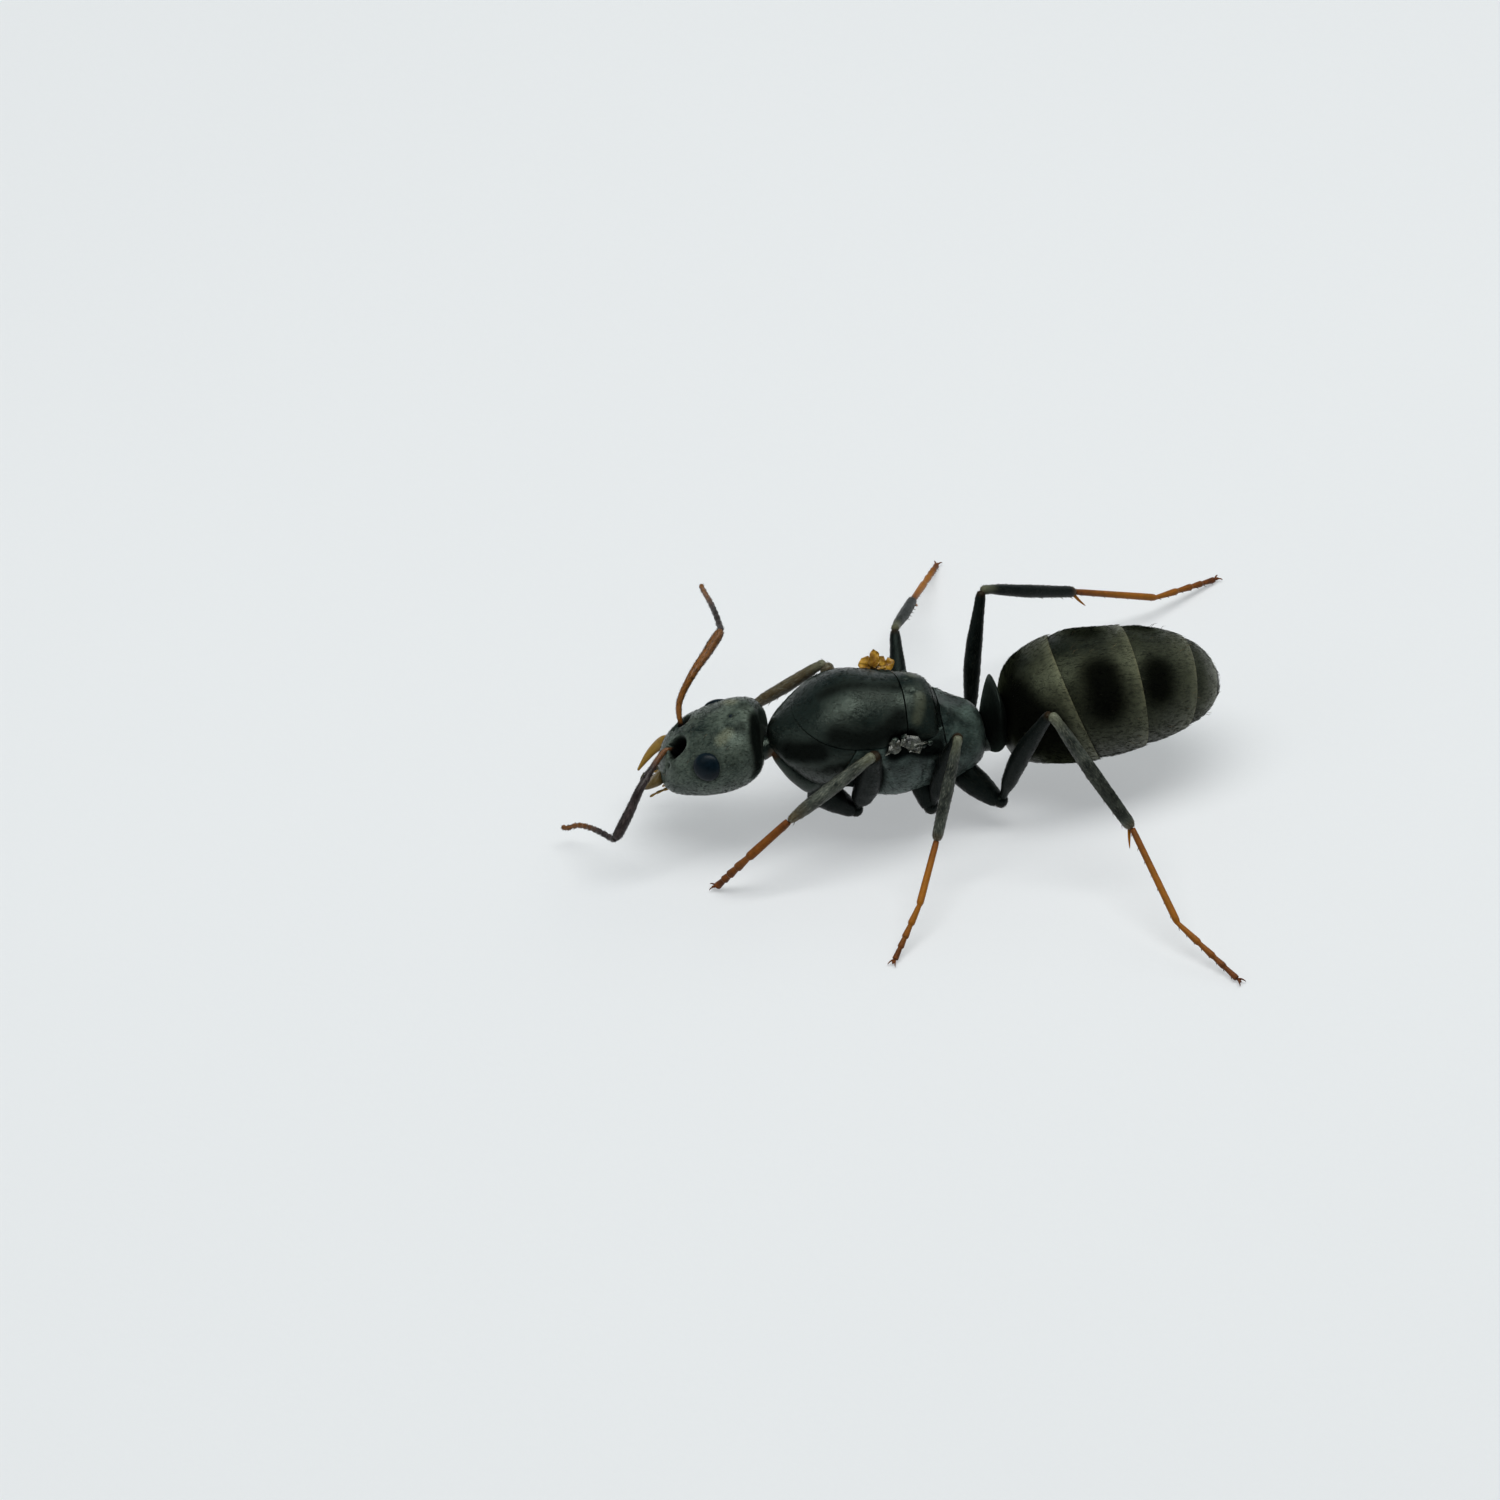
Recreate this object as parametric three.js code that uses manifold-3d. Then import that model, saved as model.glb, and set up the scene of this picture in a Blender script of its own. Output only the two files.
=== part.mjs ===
// A queen of the black ant Formica fusca that has shed her wings, standing still, at life size.
// Millimetres, +Z up. She faces -X with her left side towards -Y, and her feet stand on the plane Z = 0.

import * as THREE from "three";
import { mergeVertices } from "three/addons/utils/BufferGeometryUtils.js";
import Module from "manifold-3d";

const wasm = await Module();
wasm.setup();

// ---------------------------------------------------------------- driving dimensions

const GAP = 0.03; // clearance between neighbouring plates and across each joint

const HEAD = { centre: [-2.62, 0.25, 1.61], length: 1.86, width: 1.66, depth: 1.24 };
const HEAD_TURN = 20; // degrees to her right
const HEAD_BOW = 28; // degrees down

const THORAX = { centre: [0, 0, 1.55], length: 3.4, width: 2, depth: 2.14 };
const THORAX_LIFT = 9; // degrees, front end up
const BACK_PLATE_MARGIN = 0.56; // height of the lower edge of the back plates, over the thorax's middle
const SCUTUM_END = 0.16;
const SCUTELLUM_END = 0.92;
const PRONOTUM_END = -0.86;

const PETIOLE = { x: 1.85, top: 2.22, foot: 0.95, width: 0.88, thickness: 0.24 };

const GASTER = { centre: [3.73, 0, 1.66], length: 3.56, width: 2.16, depth: 2.06 };

const EYE = { length: 0.48, width: 0.4, bulge: 0.1 };
const FEELER_RADIUS = 0.23;
const WING_STUB_RADIUS = 0.2;
const COXA_RADIUS = 0.27;
const FEMUR_RADIUS = 0.27;
const TIBIA_RADIUS = 0.25;
const TARSUS_RADIUS = 0.22;

// Joints of each leg: coxa base, trochanter, knee, ankle, end of the first tarsal segment, foot.
const LEGS = {
  front_left: [[-1.12, -0.42, 1.02], [-0.51, -0.5, 0.47], [-0.34, -0.98, 2.14],
    [-1.65, -1.16, 1.31], [-2.45, -1.33, 0.73], [-2.98, -1.2, 0.1]],
  front_right: [[-1.12, 0.42, 1.02], [-0.49, 0.5, 0.47], [-0.57, 1.21, 2.1],
    [-1.77, 1.44, 1.16], [-1.95, 1.95, 0.55], [-2.2, 2.42, 0.1]],
  middle_left: [[0.58, -0.46, 0.98], [0.64, -0.76, 0.5], [0.96, -1.08, 2.29],
    [0.43, -1.88, 0.9], [-0.04, -2.7, 0.53], [-0.69, -3.47, 0.1]],
  middle_right: [[0.58, 0.46, 0.98], [0.64, 0.76, 0.5], [0.86, 2.38, 1.38],
    [1.52, 3.72, 0.62], [1.9, 4.4, 0.38], [2.33, 5.04, 0.1]],
  hind_left: [[1.22, -0.46, 0.9], [1.74, -0.86, 0.47], [2.39, -1.27, 2.69],
    [3.43, -2.48, 1.09], [3.8, -3.97, 0.42], [4.55, -5.27, 0.1]],
  hind_right: [[1.22, 0.46, 0.9], [1.7, 0.82, 0.47], [2.16, 1.98, 2.33],
    [3.94, 2.74, 1.17], [5.38, 3.09, 0.42], [6.81, 3.64, 0.1]],
};

// Each feeler: its socket in the head's frame, then the joints of its scape and of its funiculus.
const FEELERS = {
  left: {
    socket: [-0.4, -0.28, 0.5],
    scape: [[-3.6, 0, 1.8], [-3.93, -0.25, 1.5], [-4.365, -0.6, 0.88]],
    funiculus: [[-4.55, -0.29, 0.76], [-4.82, 0.2, 0.52], [-5.04, 0.3, 0.31]],
  },
  right: {
    socket: [-0.38, 0.28, 0.52],
    scape: [[-2.98, 0.9, 2.2], [-2.66, 1.3, 2.36], [-2.07, 1.94, 2.43]],
    funiculus: [[-2.03, 2.5, 2.28], [-2, 3.1, 2.03], [-1.98, 3.72, 1.73]],
  },
};

const SIDES = [["left", -1], ["right", 1]];

// Colours of the shell.
const BLACK = { color: 0x14171a, roughness: 0.42, metalness: 0 };
const SILKY = { color: 0x2a2823, roughness: 0.5, metalness: 0 };
const SOOT = { color: 0x1d1a19, roughness: 0.45, metalness: 0 };
const RUST = { color: 0x5c2c12, roughness: 0.5, metalness: 0 };
const UMBER = { color: 0x3a2018, roughness: 0.5, metalness: 0 };
const AMBER = { color: 0x9a5a1c, roughness: 0.5, metalness: 0 };
const JET = { color: 0x06090d, roughness: 0.25, metalness: 0 };

// ---------------------------------------------------------------- shapes

const radians = THREE.MathUtils.degToRad;
const point = (x, y, z) => new THREE.Vector3(x, y, z);
const points = (list) => list.map((p) => point(...p));
const between = (a, b, share) => a.clone().lerp(b, share);

// One ring of points: place(cosine, sine) gives the point at each turn.
function ring(sides, place) {
  return Array.from({ length: sides }, (_, side) => {
    const turn = (side / sides) * 2 * Math.PI;
    return place(Math.cos(turn), Math.sin(turn));
  });
}

// A closed surface over rings of points, ended by one point at each end.
function skin(first, rings, last) {
  const sides = rings[0].length;
  const end = rings.length * sides + 1;
  const at = (row, side) => 1 + row * sides + (side % sides);
  const faces = [];
  for (let side = 0; side < sides; side += 1) {
    faces.push(0, at(0, side + 1), at(0, side));
    for (let row = 0; row + 1 < rings.length; row += 1) {
      faces.push(at(row, side), at(row, side + 1), at(row + 1, side));
      faces.push(at(row, side + 1), at(row + 1, side + 1), at(row + 1, side));
    }
    faces.push(end, at(rings.length - 1, side), at(rings.length - 1, side + 1));
  }
  return new THREE.BufferGeometry().setFromPoints([first, ...rings.flat(), last]).setIndex(faces);
}

// A body along X in its own frame. Each section is [place, width, top, bottom], all as shares of
// half the body's length, width and depth, and the two ends are [place, height].
function hull(size, front, sections, back, { sides = 24, grow = 0 } = {}) {
  const [along, across, up] = [size.length / 2, size.width / 2, size.depth / 2];
  const rings = sections.map(([place, width, top, bottom]) => {
    const middle = up * (top + bottom) / 2;
    const rise = up * (top - bottom) / 2 + grow;
    const spread = across * width + grow;
    return ring(sides, (cosine, sine) => point(along * place, spread * cosine, middle + rise * sine));
  });
  return skin(
    point(along * front[0] - grow, 0, up * front[1]),
    rings,
    point(along * back[0] + grow, 0, up * back[1]),
  );
}

// A limb along a curve through a few joints, with a radius at each, rounded at both ends.
function limb(path, radii, { sides = 8, steps = 2, grow = 0 } = {}) {
  const curve = new THREE.CatmullRomCurve3(path, false, "centripetal");
  const spans = path.length - 1;
  const rings = [];
  let across = point(0, 1, 0.3);
  for (let step = 0; step <= spans * steps; step += 1) {
    const along = step / steps;
    const knot = Math.min(Math.floor(along), spans - 1);
    const centre = curve.getPoint(along / spans);
    const tangent = curve.getTangent(along / spans);
    across = across.clone().addScaledVector(tangent, -across.dot(tangent)).normalize();
    const other = tangent.clone().cross(across);
    const radius = THREE.MathUtils.lerp(radii[knot], radii[knot + 1], along - knot) + grow;
    const [side, cross] = [across, other];
    rings.push(ring(sides, (cosine, sine) => centre.clone()
      .addScaledVector(side, radius * cosine)
      .addScaledVector(cross, radius * sine)));
  }
  const start = path[0].clone().addScaledVector(curve.getTangent(0), -0.5 * radii[0] - grow);
  const finish = path.at(-1).clone().addScaledVector(curve.getTangent(1), 0.5 * radii.at(-1) + grow);
  return skin(start, rings, finish);
}

// ---------------------------------------------------------------- joining and cutting

function solid(geometry) {
  geometry.deleteAttribute("normal");
  geometry.deleteAttribute("uv");
  const merged = mergeVertices(geometry, 1e-5);
  return new wasm.Manifold(new wasm.Mesh({
    numProp: 3,
    vertProperties: new Float32Array(merged.attributes.position.array),
    triVerts: new Uint32Array(merged.index.array),
  }));
}

function faceted(body) {
  const mesh = body.getMesh();
  const geometry = new THREE.BufferGeometry();
  geometry.setAttribute("position", new THREE.BufferAttribute(mesh.vertProperties, 3));
  geometry.setIndex(new THREE.BufferAttribute(mesh.triVerts, 1));
  return geometry;
}

// Splits a solid at an upright cross plane that leans back by tilt degrees, leaving a gap.
function divide(body, tilt, offset) {
  const normal = [Math.cos(radians(tilt)), 0, Math.sin(radians(tilt))];
  const reverse = normal.map((value) => -value);
  return [
    body.trimByPlane(reverse, GAP / 2 - offset),
    body.trimByPlane(normal, offset + GAP / 2),
  ];
}

const without = (body, others) => others.reduce((left, other) => left.subtract(other), body);

const queen = new THREE.Group();

function frameAt(centre, turn, bow) {
  const group = new THREE.Group();
  group.position.set(...centre);
  group.rotation.order = "ZYX";
  group.rotation.z = radians(turn);
  group.rotation.y = radians(bow);
  group.updateMatrix();
  queen.add(group);
  return group;
}

// Solids of the queen's own frame as seen in a group's frame, and the other way round.
const seenFrom = (group, body) => body.transform(group.matrix.clone().invert().elements);
const carriedBy = (group, body) => body.transform(group.matrix.elements);

function add(group, name, shape, look) {
  const geometry = shape instanceof THREE.BufferGeometry ? shape : faceted(shape);
  geometry.computeVertexNormals();
  const mesh = new THREE.Mesh(geometry, new THREE.MeshStandardMaterial(look));
  mesh.name = name;
  group.add(mesh);
}

// ---------------------------------------------------------------- legs

const floorCutter = solid(new THREE.BoxGeometry(30, 30, 2).translate(0, 0, -1));
const coxaRooms = [];
const femurRooms = [];

for (const [name, joints] of Object.entries(LEGS)) {
  const [base, trochanter, knee, ankle, heel, foot] = points(joints);
  const parts = [
    ["coxa", [base, between(base, trochanter, 0.5), trochanter], [1, 1, 0.8], COXA_RADIUS, BLACK],
    ["femur", [0.06, 0.35, 0.7, 1].map((share) => between(trochanter, knee, share)),
      [0.7, 1, 0.95, 0.85], FEMUR_RADIUS, SOOT],
    ["tibia", [knee, between(knee, ankle, 0.5), ankle], [0.9, 1, 0.9], TIBIA_RADIUS, SOOT],
    ["tarsus", [ankle, heel, foot], [1, 1, 1], TARSUS_RADIUS, RUST],
  ];
  let room = floorCutter;
  for (const [part, path, shares, radius, look] of parts) {
    const radii = shares.map((share) => share * radius);
    const body = solid(limb(path, radii)).subtract(room).subtract(floorCutter);
    add(queen, `${part}_${name}`, body, look);
    room = solid(limb(path, radii, { grow: GAP }));
    if (part === "coxa") {
      coxaRooms.push(room);
    }
    if (part === "femur") {
      femurRooms.push(room);
    }
  }
}

// ---------------------------------------------------------------- thorax

const THORAX_ENDS = [[-1, 0.09], [1.01, -0.11]];
const THORAX_SECTIONS = [
  [-0.95, 0.35, 0.31, -0.24],
  [-0.88, 0.6, 0.56, -0.4],
  [-0.78, 0.78, 0.79, -0.5],
  [-0.65, 0.9, 1.03, -0.6],
  [-0.44, 0.97, 1.15, -0.72],
  [-0.18, 1, 1.11, -0.82],
  [0.06, 0.97, 1.04, -0.87],
  [0.29, 0.9, 0.99, -0.86],
  [0.47, 0.82, 0.8, -0.82],
  [0.6, 0.75, 0.59, -0.78],
  [0.74, 0.67, 0.5, -0.7],
  [0.88, 0.58, 0.41, -0.57],
  [0.98, 0.4, 0.22, -0.42],
];
const PRONOTUM_TILT = -24;
const PROPODEUM_TILT = 12;

const thorax = frameAt(THORAX.centre, 0, THORAX_LIFT);
const trunk = (grow) => solid(hull(THORAX, THORAX_ENDS[0], THORAX_SECTIONS, THORAX_ENDS[1], { grow }));
const thoraxRoom = carriedBy(thorax, trunk(GAP));

// A wing stub leans out and back from the side of the back plates.
function wingStub(sign, grow) {
  const path = points([[-0.06, sign * 0.86, 0.62], [0.1, sign * 0.98, 0.66], [0.26, sign * 1.04, 0.72]]);
  return limb(path, [1, 1.05, 0.85].map((share) => share * WING_STUB_RADIUS), { grow });
}

const stubRooms = SIDES.map(([, sign]) => solid(wingStub(sign, GAP)));
const legRooms = [...coxaRooms, ...femurRooms].map((room) => seenFrom(thorax, room));
const carved = without(trunk(0), [...stubRooms, ...legRooms]);
const [ahead, propodeum] = divide(carved, PROPODEUM_TILT, SCUTELLUM_END);
const [lower, upper] = divide(ahead, 90, BACK_PLATE_MARGIN);
const [scutum, scutellum] = divide(upper, 0, SCUTUM_END);
const [pronotum, pleura] = divide(lower, PRONOTUM_TILT, PRONOTUM_END);
add(thorax, "pronotum", pronotum, BLACK);
add(thorax, "scutum", scutum, BLACK);
add(thorax, "scutellum", scutellum, BLACK);
add(thorax, "propodeum", propodeum, BLACK);
for (const [side, sign] of SIDES) {
  add(thorax, `mesopleuron_${side}`, pleura.trimByPlane([0, sign, 0], GAP / 2), BLACK);
  add(thorax, `wing_stub_${side}`, wingStub(sign, 0), AMBER);
}

// ---------------------------------------------------------------- petiole and gaster

// The petiole is an upright scale: each section is [height, width, thickness] as shares of its own.
const PETIOLE_SECTIONS = [
  [0.08, 0.5, 1],
  [0.3, 0.72, 1.25],
  [0.55, 0.92, 1.1],
  [0.8, 1, 0.8],
  [0.94, 0.75, 0.5],
];

const scale = skin(
  point(PETIOLE.x, 0, PETIOLE.foot),
  PETIOLE_SECTIONS.map(([rise, width, thickness]) => ring(18, (cosine, sine) => point(
    PETIOLE.x - (PETIOLE.thickness / 2) * thickness * sine,
    (PETIOLE.width / 2) * width * cosine,
    THREE.MathUtils.lerp(PETIOLE.foot, PETIOLE.top, rise),
  ))),
  point(PETIOLE.x, 0, PETIOLE.top),
);
add(queen, "petiole", solid(scale).subtract(thoraxRoom), BLACK);

const GASTER_ENDS = [[-1, -0.25], [1, -0.15]];
const GASTER_SECTIONS = [
  [-0.98, 0.33, 0.14, -0.66],
  [-0.93, 0.57, 0.45, -0.82],
  [-0.83, 0.76, 0.71, -0.9],
  [-0.63, 0.9, 0.9, -0.96],
  [-0.44, 0.97, 0.98, -1],
  [-0.24, 1, 1, -1],
  [-0.02, 0.97, 0.96, -0.97],
  [0.21, 0.92, 0.92, -0.91],
  [0.43, 0.84, 0.83, -0.84],
  [0.63, 0.73, 0.69, -0.75],
  [0.79, 0.59, 0.51, -0.63],
  [0.9, 0.42, 0.31, -0.5],
  [0.97, 0.24, 0.1, -0.38],
];
// Rear edges of the gaster's plates: how far each leans back, in degrees, and where it lies.
const PLATE_EDGES = [[20, -0.67], [3, 0.36], [-11, 1.24], [-18, 1.63]];

const gaster = frameAt(GASTER.centre, 0, 0);
const petioleRoom = new THREE.SphereGeometry(1, 20, 14)
  .scale(0.2, 0.62, 0.85)
  .translate(PETIOLE.x, 0, (PETIOLE.top + PETIOLE.foot) / 2);
const gasterRooms = [solid(petioleRoom), ...femurRooms].map((room) => seenFrom(gaster, room));
let rest = without(solid(hull(GASTER, GASTER_ENDS[0], GASTER_SECTIONS, GASTER_ENDS[1])), gasterRooms);
PLATE_EDGES.forEach(([tilt, offset], index) => {
  const [plate, behind] = divide(rest, tilt, offset);
  add(gaster, `gaster_segment_${index + 1}`, plate, SILKY);
  rest = behind;
});
add(gaster, "gaster_tip", rest, SILKY);

// ---------------------------------------------------------------- head, feelers and neck

const HEAD_ENDS = [[-1.02, -0.1], [1, 0]];
const HEAD_SECTIONS = [
  [-1, 0.36, 0.1, -0.26],
  [-0.92, 0.55, 0.26, -0.39],
  [-0.73, 0.74, 0.55, -0.65],
  [-0.43, 0.88, 0.81, -0.84],
  [-0.05, 0.98, 0.97, -0.97],
  [0.32, 1, 1, -0.98],
  [0.62, 0.9, 0.9, -0.89],
  [0.83, 0.69, 0.68, -0.69],
  [0.95, 0.4, 0.39, -0.42],
];

const head = frameAt(HEAD.centre, -HEAD_TURN, -HEAD_BOW);
const skullShape = (grow) => solid(hull(HEAD, HEAD_ENDS[0], HEAD_SECTIONS, HEAD_ENDS[1], { grow }));
const skullRoom = skullShape(GAP);
let skull = skullShape(0);

// A compound eye: a flat dome on the side of the head, above its middle.
function eye(sign, grow) {
  return new THREE.SphereGeometry(1, 12, 8)
    .scale(EYE.length / 2 + grow, EYE.bulge + grow, EYE.width / 2 + grow)
    .rotateX(sign * radians(30))
    .translate(0.15, sign * 0.745, 0.28);
}

// A mandible is a blade that curves in from its hinge to its tip: [x, y, z] and [thickness, breadth].
const MANDIBLE_SPINE = [
  [-0.8, 0.44, -0.05],
  [-0.98, 0.46, -0.1],
  [-1.18, 0.36, -0.16],
  [-1.34, 0.14, -0.22],
];
const MANDIBLE_BLADE = [[0.22, 0.4], [0.24, 0.48], [0.2, 0.48], [0.16, 0.16]];

function mandible(sign) {
  const rings = MANDIBLE_SPINE.map(([x, y, z], index) => {
    const [thickness, breadth] = MANDIBLE_BLADE[index];
    return ring(10, (cosine, sine) => point(
      x + 0.15 * breadth * cosine,
      sign * (y - (breadth / 2) * cosine),
      z + (thickness / 2) * sign * sine,
    ));
  });
  return skin(point(-0.74, sign * 0.44, -0.04), rings, point(-1.41, sign * 0.1, -0.24));
}

for (const [side, sign] of SIDES) {
  const { socket, scape, funiculus } = FEELERS[side];
  const scapePath = [point(...socket).applyMatrix4(head.matrix), ...points(scape)];
  const funiculusPath = [scapePath.at(-1), ...points(funiculus)];
  const radii = scapePath.map(() => FEELER_RADIUS);
  const scapeRoom = solid(limb(scapePath, radii, { grow: GAP }));
  skull = without(skull, [seenFrom(head, scapeRoom), solid(eye(sign, GAP))]);
  add(head, `eye_${side}`, eye(sign, 0), JET);
  add(head, `mandible_${side}`, solid(mandible(sign)).subtract(skullRoom), UMBER);
  add(queen, `scape_${side}`, limb(scapePath, radii), UMBER);
  add(queen, `funiculus_${side}`, solid(limb(funiculusPath, radii)).subtract(scapeRoom), UMBER);
}
add(head, "head", skull, BLACK);

const neckPath = points([[-2, 0.08, 1.66], [-1.8, 0.03, 1.66], [-1.55, 0, 1.66]]);
const neck = solid(limb(neckPath, [0.26, 0.26, 0.28], { sides: 12 }));
add(queen, "neck", without(neck, [carriedBy(head, skullRoom), thoraxRoom]), BLACK);

// The origin is on the floor, at the middle of the queen's outline seen from above.
const outline = new THREE.Box3().setFromObject(queen);
const middle = outline.getCenter(new THREE.Vector3());
queen.position.set(-middle.x, -middle.y, -outline.min.z);

export default queen;
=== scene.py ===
"""A queen of the black ant Formica fusca that has shed her wings, as a life-size museum model.
Metres, +Z up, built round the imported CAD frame. Sizes in the tables below are millimetres."""

import math

import bpy
import numpy as np
from mathutils import Matrix, Vector


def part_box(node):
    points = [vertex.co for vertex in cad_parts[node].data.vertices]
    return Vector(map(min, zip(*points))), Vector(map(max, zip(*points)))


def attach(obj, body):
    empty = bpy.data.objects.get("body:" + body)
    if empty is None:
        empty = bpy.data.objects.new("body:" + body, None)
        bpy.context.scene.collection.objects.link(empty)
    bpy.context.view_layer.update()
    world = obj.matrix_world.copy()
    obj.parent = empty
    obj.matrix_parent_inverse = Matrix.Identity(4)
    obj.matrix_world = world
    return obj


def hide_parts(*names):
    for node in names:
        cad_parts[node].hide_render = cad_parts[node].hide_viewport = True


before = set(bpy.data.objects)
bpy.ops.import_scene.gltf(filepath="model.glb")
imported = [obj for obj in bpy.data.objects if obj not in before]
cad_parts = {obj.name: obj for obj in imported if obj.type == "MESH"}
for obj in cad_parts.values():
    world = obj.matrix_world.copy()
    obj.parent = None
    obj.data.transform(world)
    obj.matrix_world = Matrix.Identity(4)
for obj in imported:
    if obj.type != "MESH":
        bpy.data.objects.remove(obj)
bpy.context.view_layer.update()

MM = 0.001
SIDES = (("left", -1), ("right", 1))
LEG_PAIRS = ("front", "middle", "hind")
CHANCE = np.random.default_rng(1907)

# ---------------------------------------------------------------- places read from the CAD nodes


def spots_of(piece):
    spots = np.zeros(len(piece.data.vertices) * 3)
    piece.data.vertices.foreach_get("co", spots)
    return spots.reshape(-1, 3)


def corners_of(mesh):
    """The vertices of a mesh's triangles, in one row."""
    mesh.calc_loop_triangles()
    corners = np.zeros(len(mesh.loop_triangles) * 3, int)
    mesh.loop_triangles.foreach_get("vertices", corners)
    return corners


def triangles(node):
    """A CAD node's triangles, in millimetres."""
    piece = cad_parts[node]
    return spots_of(piece)[corners_of(piece.data)].reshape(-1, 3, 3) / MM


def middle(node):
    """The middle of a node's surface."""
    faces = triangles(node)
    area = np.linalg.norm(np.cross(faces[:, 1] - faces[:, 0], faces[:, 2] - faces[:, 0]), axis=1)
    return (faces.mean(1) * area[:, None]).sum(0) / area.sum()


def seated(landmarks):
    """The frame, millimetres to metres, in which the nodes' middles lie at these places."""
    own = np.array([landmarks[node] for node in landmarks], float)
    world = np.array([middle(node) for node in landmarks])
    spread = (own - own.mean(0)).T @ (world - world.mean(0))
    left, _, right = np.linalg.svd(spread)
    flip = np.diag([1, 1, np.sign(np.linalg.det(right.T @ left.T))])
    turn = right.T @ flip @ left.T
    shift = world.mean(0) - turn @ own.mean(0)
    return Matrix.Translation(Vector(shift) * MM) @ Matrix(turn).to_4x4() @ Matrix.Scale(MM, 4)


def sections(node, shares, start):
    """The middles of a limb's cross sections, at shares of its length from the end near start."""
    faces = triangles(node)
    spots = faces.reshape(-1, 3)
    centre = spots.mean(0)
    axis = np.linalg.svd(spots - centre, full_matrices=False)[2][0]
    if (np.array(start) - centre) @ axis > 0:
        axis = -axis
    along = (spots - centre) @ axis
    found = []
    for share in shares:
        height = (faces - centre) @ axis - (along.min() + share * np.ptp(along))
        cut = []
        for a, b in ((0, 1), (1, 2), (2, 0)):
            crossing = height[:, a] * height[:, b] < 0
            part = (height[:, a] / np.where(crossing, height[:, a] - height[:, b], 1))[:, None]
            spot = faces[:, a] + part * (faces[:, b] - faces[:, a])
            cut.append((crossing, spot))
        two = sum(crossing.astype(int) for crossing, _ in cut) == 2
        ends = np.array([spot[two] * crossing[two][:, None] for crossing, spot in cut]).sum(0)
        length = np.zeros(two.sum())
        for i in range(3):
            j = (i + 1) % 3
            both = cut[i][0][two] & cut[j][0][two]
            span = np.linalg.norm(cut[i][1][two] - cut[j][1][two], axis=1)
            length = np.where(both, span, length)
        found.append((ends / 2 * length[:, None]).sum(0) / max(length.sum(), 1e-12))
    return [Vector(spot) for spot in found]


def meeting(first, second):
    """The point nearest to two lines, each given by two points."""
    (a, b), (c, d) = first, second
    u, v, w = (b - a).normalized(), (d - c).normalized(), a - c
    lean = u.dot(v)
    spread = 1 - lean * lean
    s = (lean * v.dot(w) - u.dot(w)) / spread
    t = (v.dot(w) - lean * u.dot(w)) / spread
    return (a + u * s + c + v * t) / 2


HEAD = seated({
    "eye_left": (0.15, -0.745, 0.28),
    "eye_right": (0.15, 0.745, 0.28),
    "mandible_left": (-1.091, -0.387, -0.135),
    "mandible_right": (-1.091, 0.386, -0.135),
    "head": (0.04, 0, -0.002),
})
THORAX = seated({
    "wing_stub_left": (0.081, -0.96, 0.657),
    "wing_stub_right": (0.081, 0.96, 0.657),
    "pronotum": (-1.166, 0, 0.142),
    "scutum": (-0.58, 0, 0.782),
    "scutellum": (0.434, 0, 0.745),
    "propodeum": (1.19, 0, 0.016),
})
GASTER_NODES = [f"gaster_segment_{n}" for n in (1, 2, 3, 4)] + ["gaster_tip"]
GASTER_LOW = Vector([min(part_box(n)[0][i] for n in GASTER_NODES) for i in range(3)])
GASTER_HIGH = Vector([max(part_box(n)[1][i] for n in GASTER_NODES) for i in range(3)])
GASTER = Matrix.Translation((GASTER_LOW + GASTER_HIGH) / 2) @ Matrix.Scale(MM, 4)
PETIOLE_LOW, PETIOLE_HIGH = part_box("petiole")
PETIOLE = Matrix.Translation((PETIOLE_LOW + PETIOLE_HIGH) / 2) @ Matrix.Scale(MM, 4)

# ---------------------------------------------------------------- the bench


def deselect():
    if bpy.context.object and bpy.context.object.mode != "OBJECT":
        bpy.ops.object.mode_set(mode="OBJECT")
    bpy.ops.object.select_all(action="DESELECT")


def take(*pieces):
    """Selects these pieces alone; the last is active."""
    deselect()
    for piece in pieces:
        piece.select_set(True)
    bpy.context.view_layer.objects.active = pieces[-1]


def edit(piece, mask=None):
    """Opens a piece in edit mode with nothing selected, or only the vertices in mask."""
    take(piece)
    mesh = piece.data
    mesh.vertices.foreach_set("select", np.zeros(len(mesh.vertices), bool) if mask is None else mask)
    mesh.edges.foreach_set("select", np.zeros(len(mesh.edges), bool))
    mesh.polygons.foreach_set("select", np.zeros(len(mesh.polygons), bool))
    bpy.ops.object.mode_set(mode="EDIT")


def edit_all(piece):
    edit(piece)
    bpy.ops.mesh.select_all(action="SELECT")


def done():
    bpy.ops.object.mode_set(mode="OBJECT")


def set_down():
    """Gives the place of the new primitive to its mesh."""
    bpy.ops.object.transform_apply(location=True, rotation=True, scale=True)
    return bpy.context.object


def through(spots, count, straight=False):
    """A smooth curve through a few points, or straight spans, as count points evenly spaced along it."""
    spots = np.array([list(spot) for spot in spots], float)
    fine = [spots]
    if not straight:
        p = np.concatenate([[2 * spots[0] - spots[1]], spots, [2 * spots[-1] - spots[-2]]])
        t = np.linspace(0, 1, 24, endpoint=False)[:, None]
        fine = []
        for i in range(1, len(p) - 2):
            a, b, c, d = p[i - 1:i + 3]
            fine.append(0.5 * (2 * b + (c - a) * t + (2 * a - 5 * b + 4 * c - d) * t**2
                               + (3 * b - a - 3 * c + d) * t**3))
        fine.append(spots[-1:])
    fine = np.concatenate(fine)
    run = np.concatenate([[0], np.cumsum(np.linalg.norm(np.diff(fine, axis=0), axis=1))])
    return np.stack([np.interp(np.linspace(0, run[-1], count), run, axis) for axis in fine.T], 1)


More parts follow.
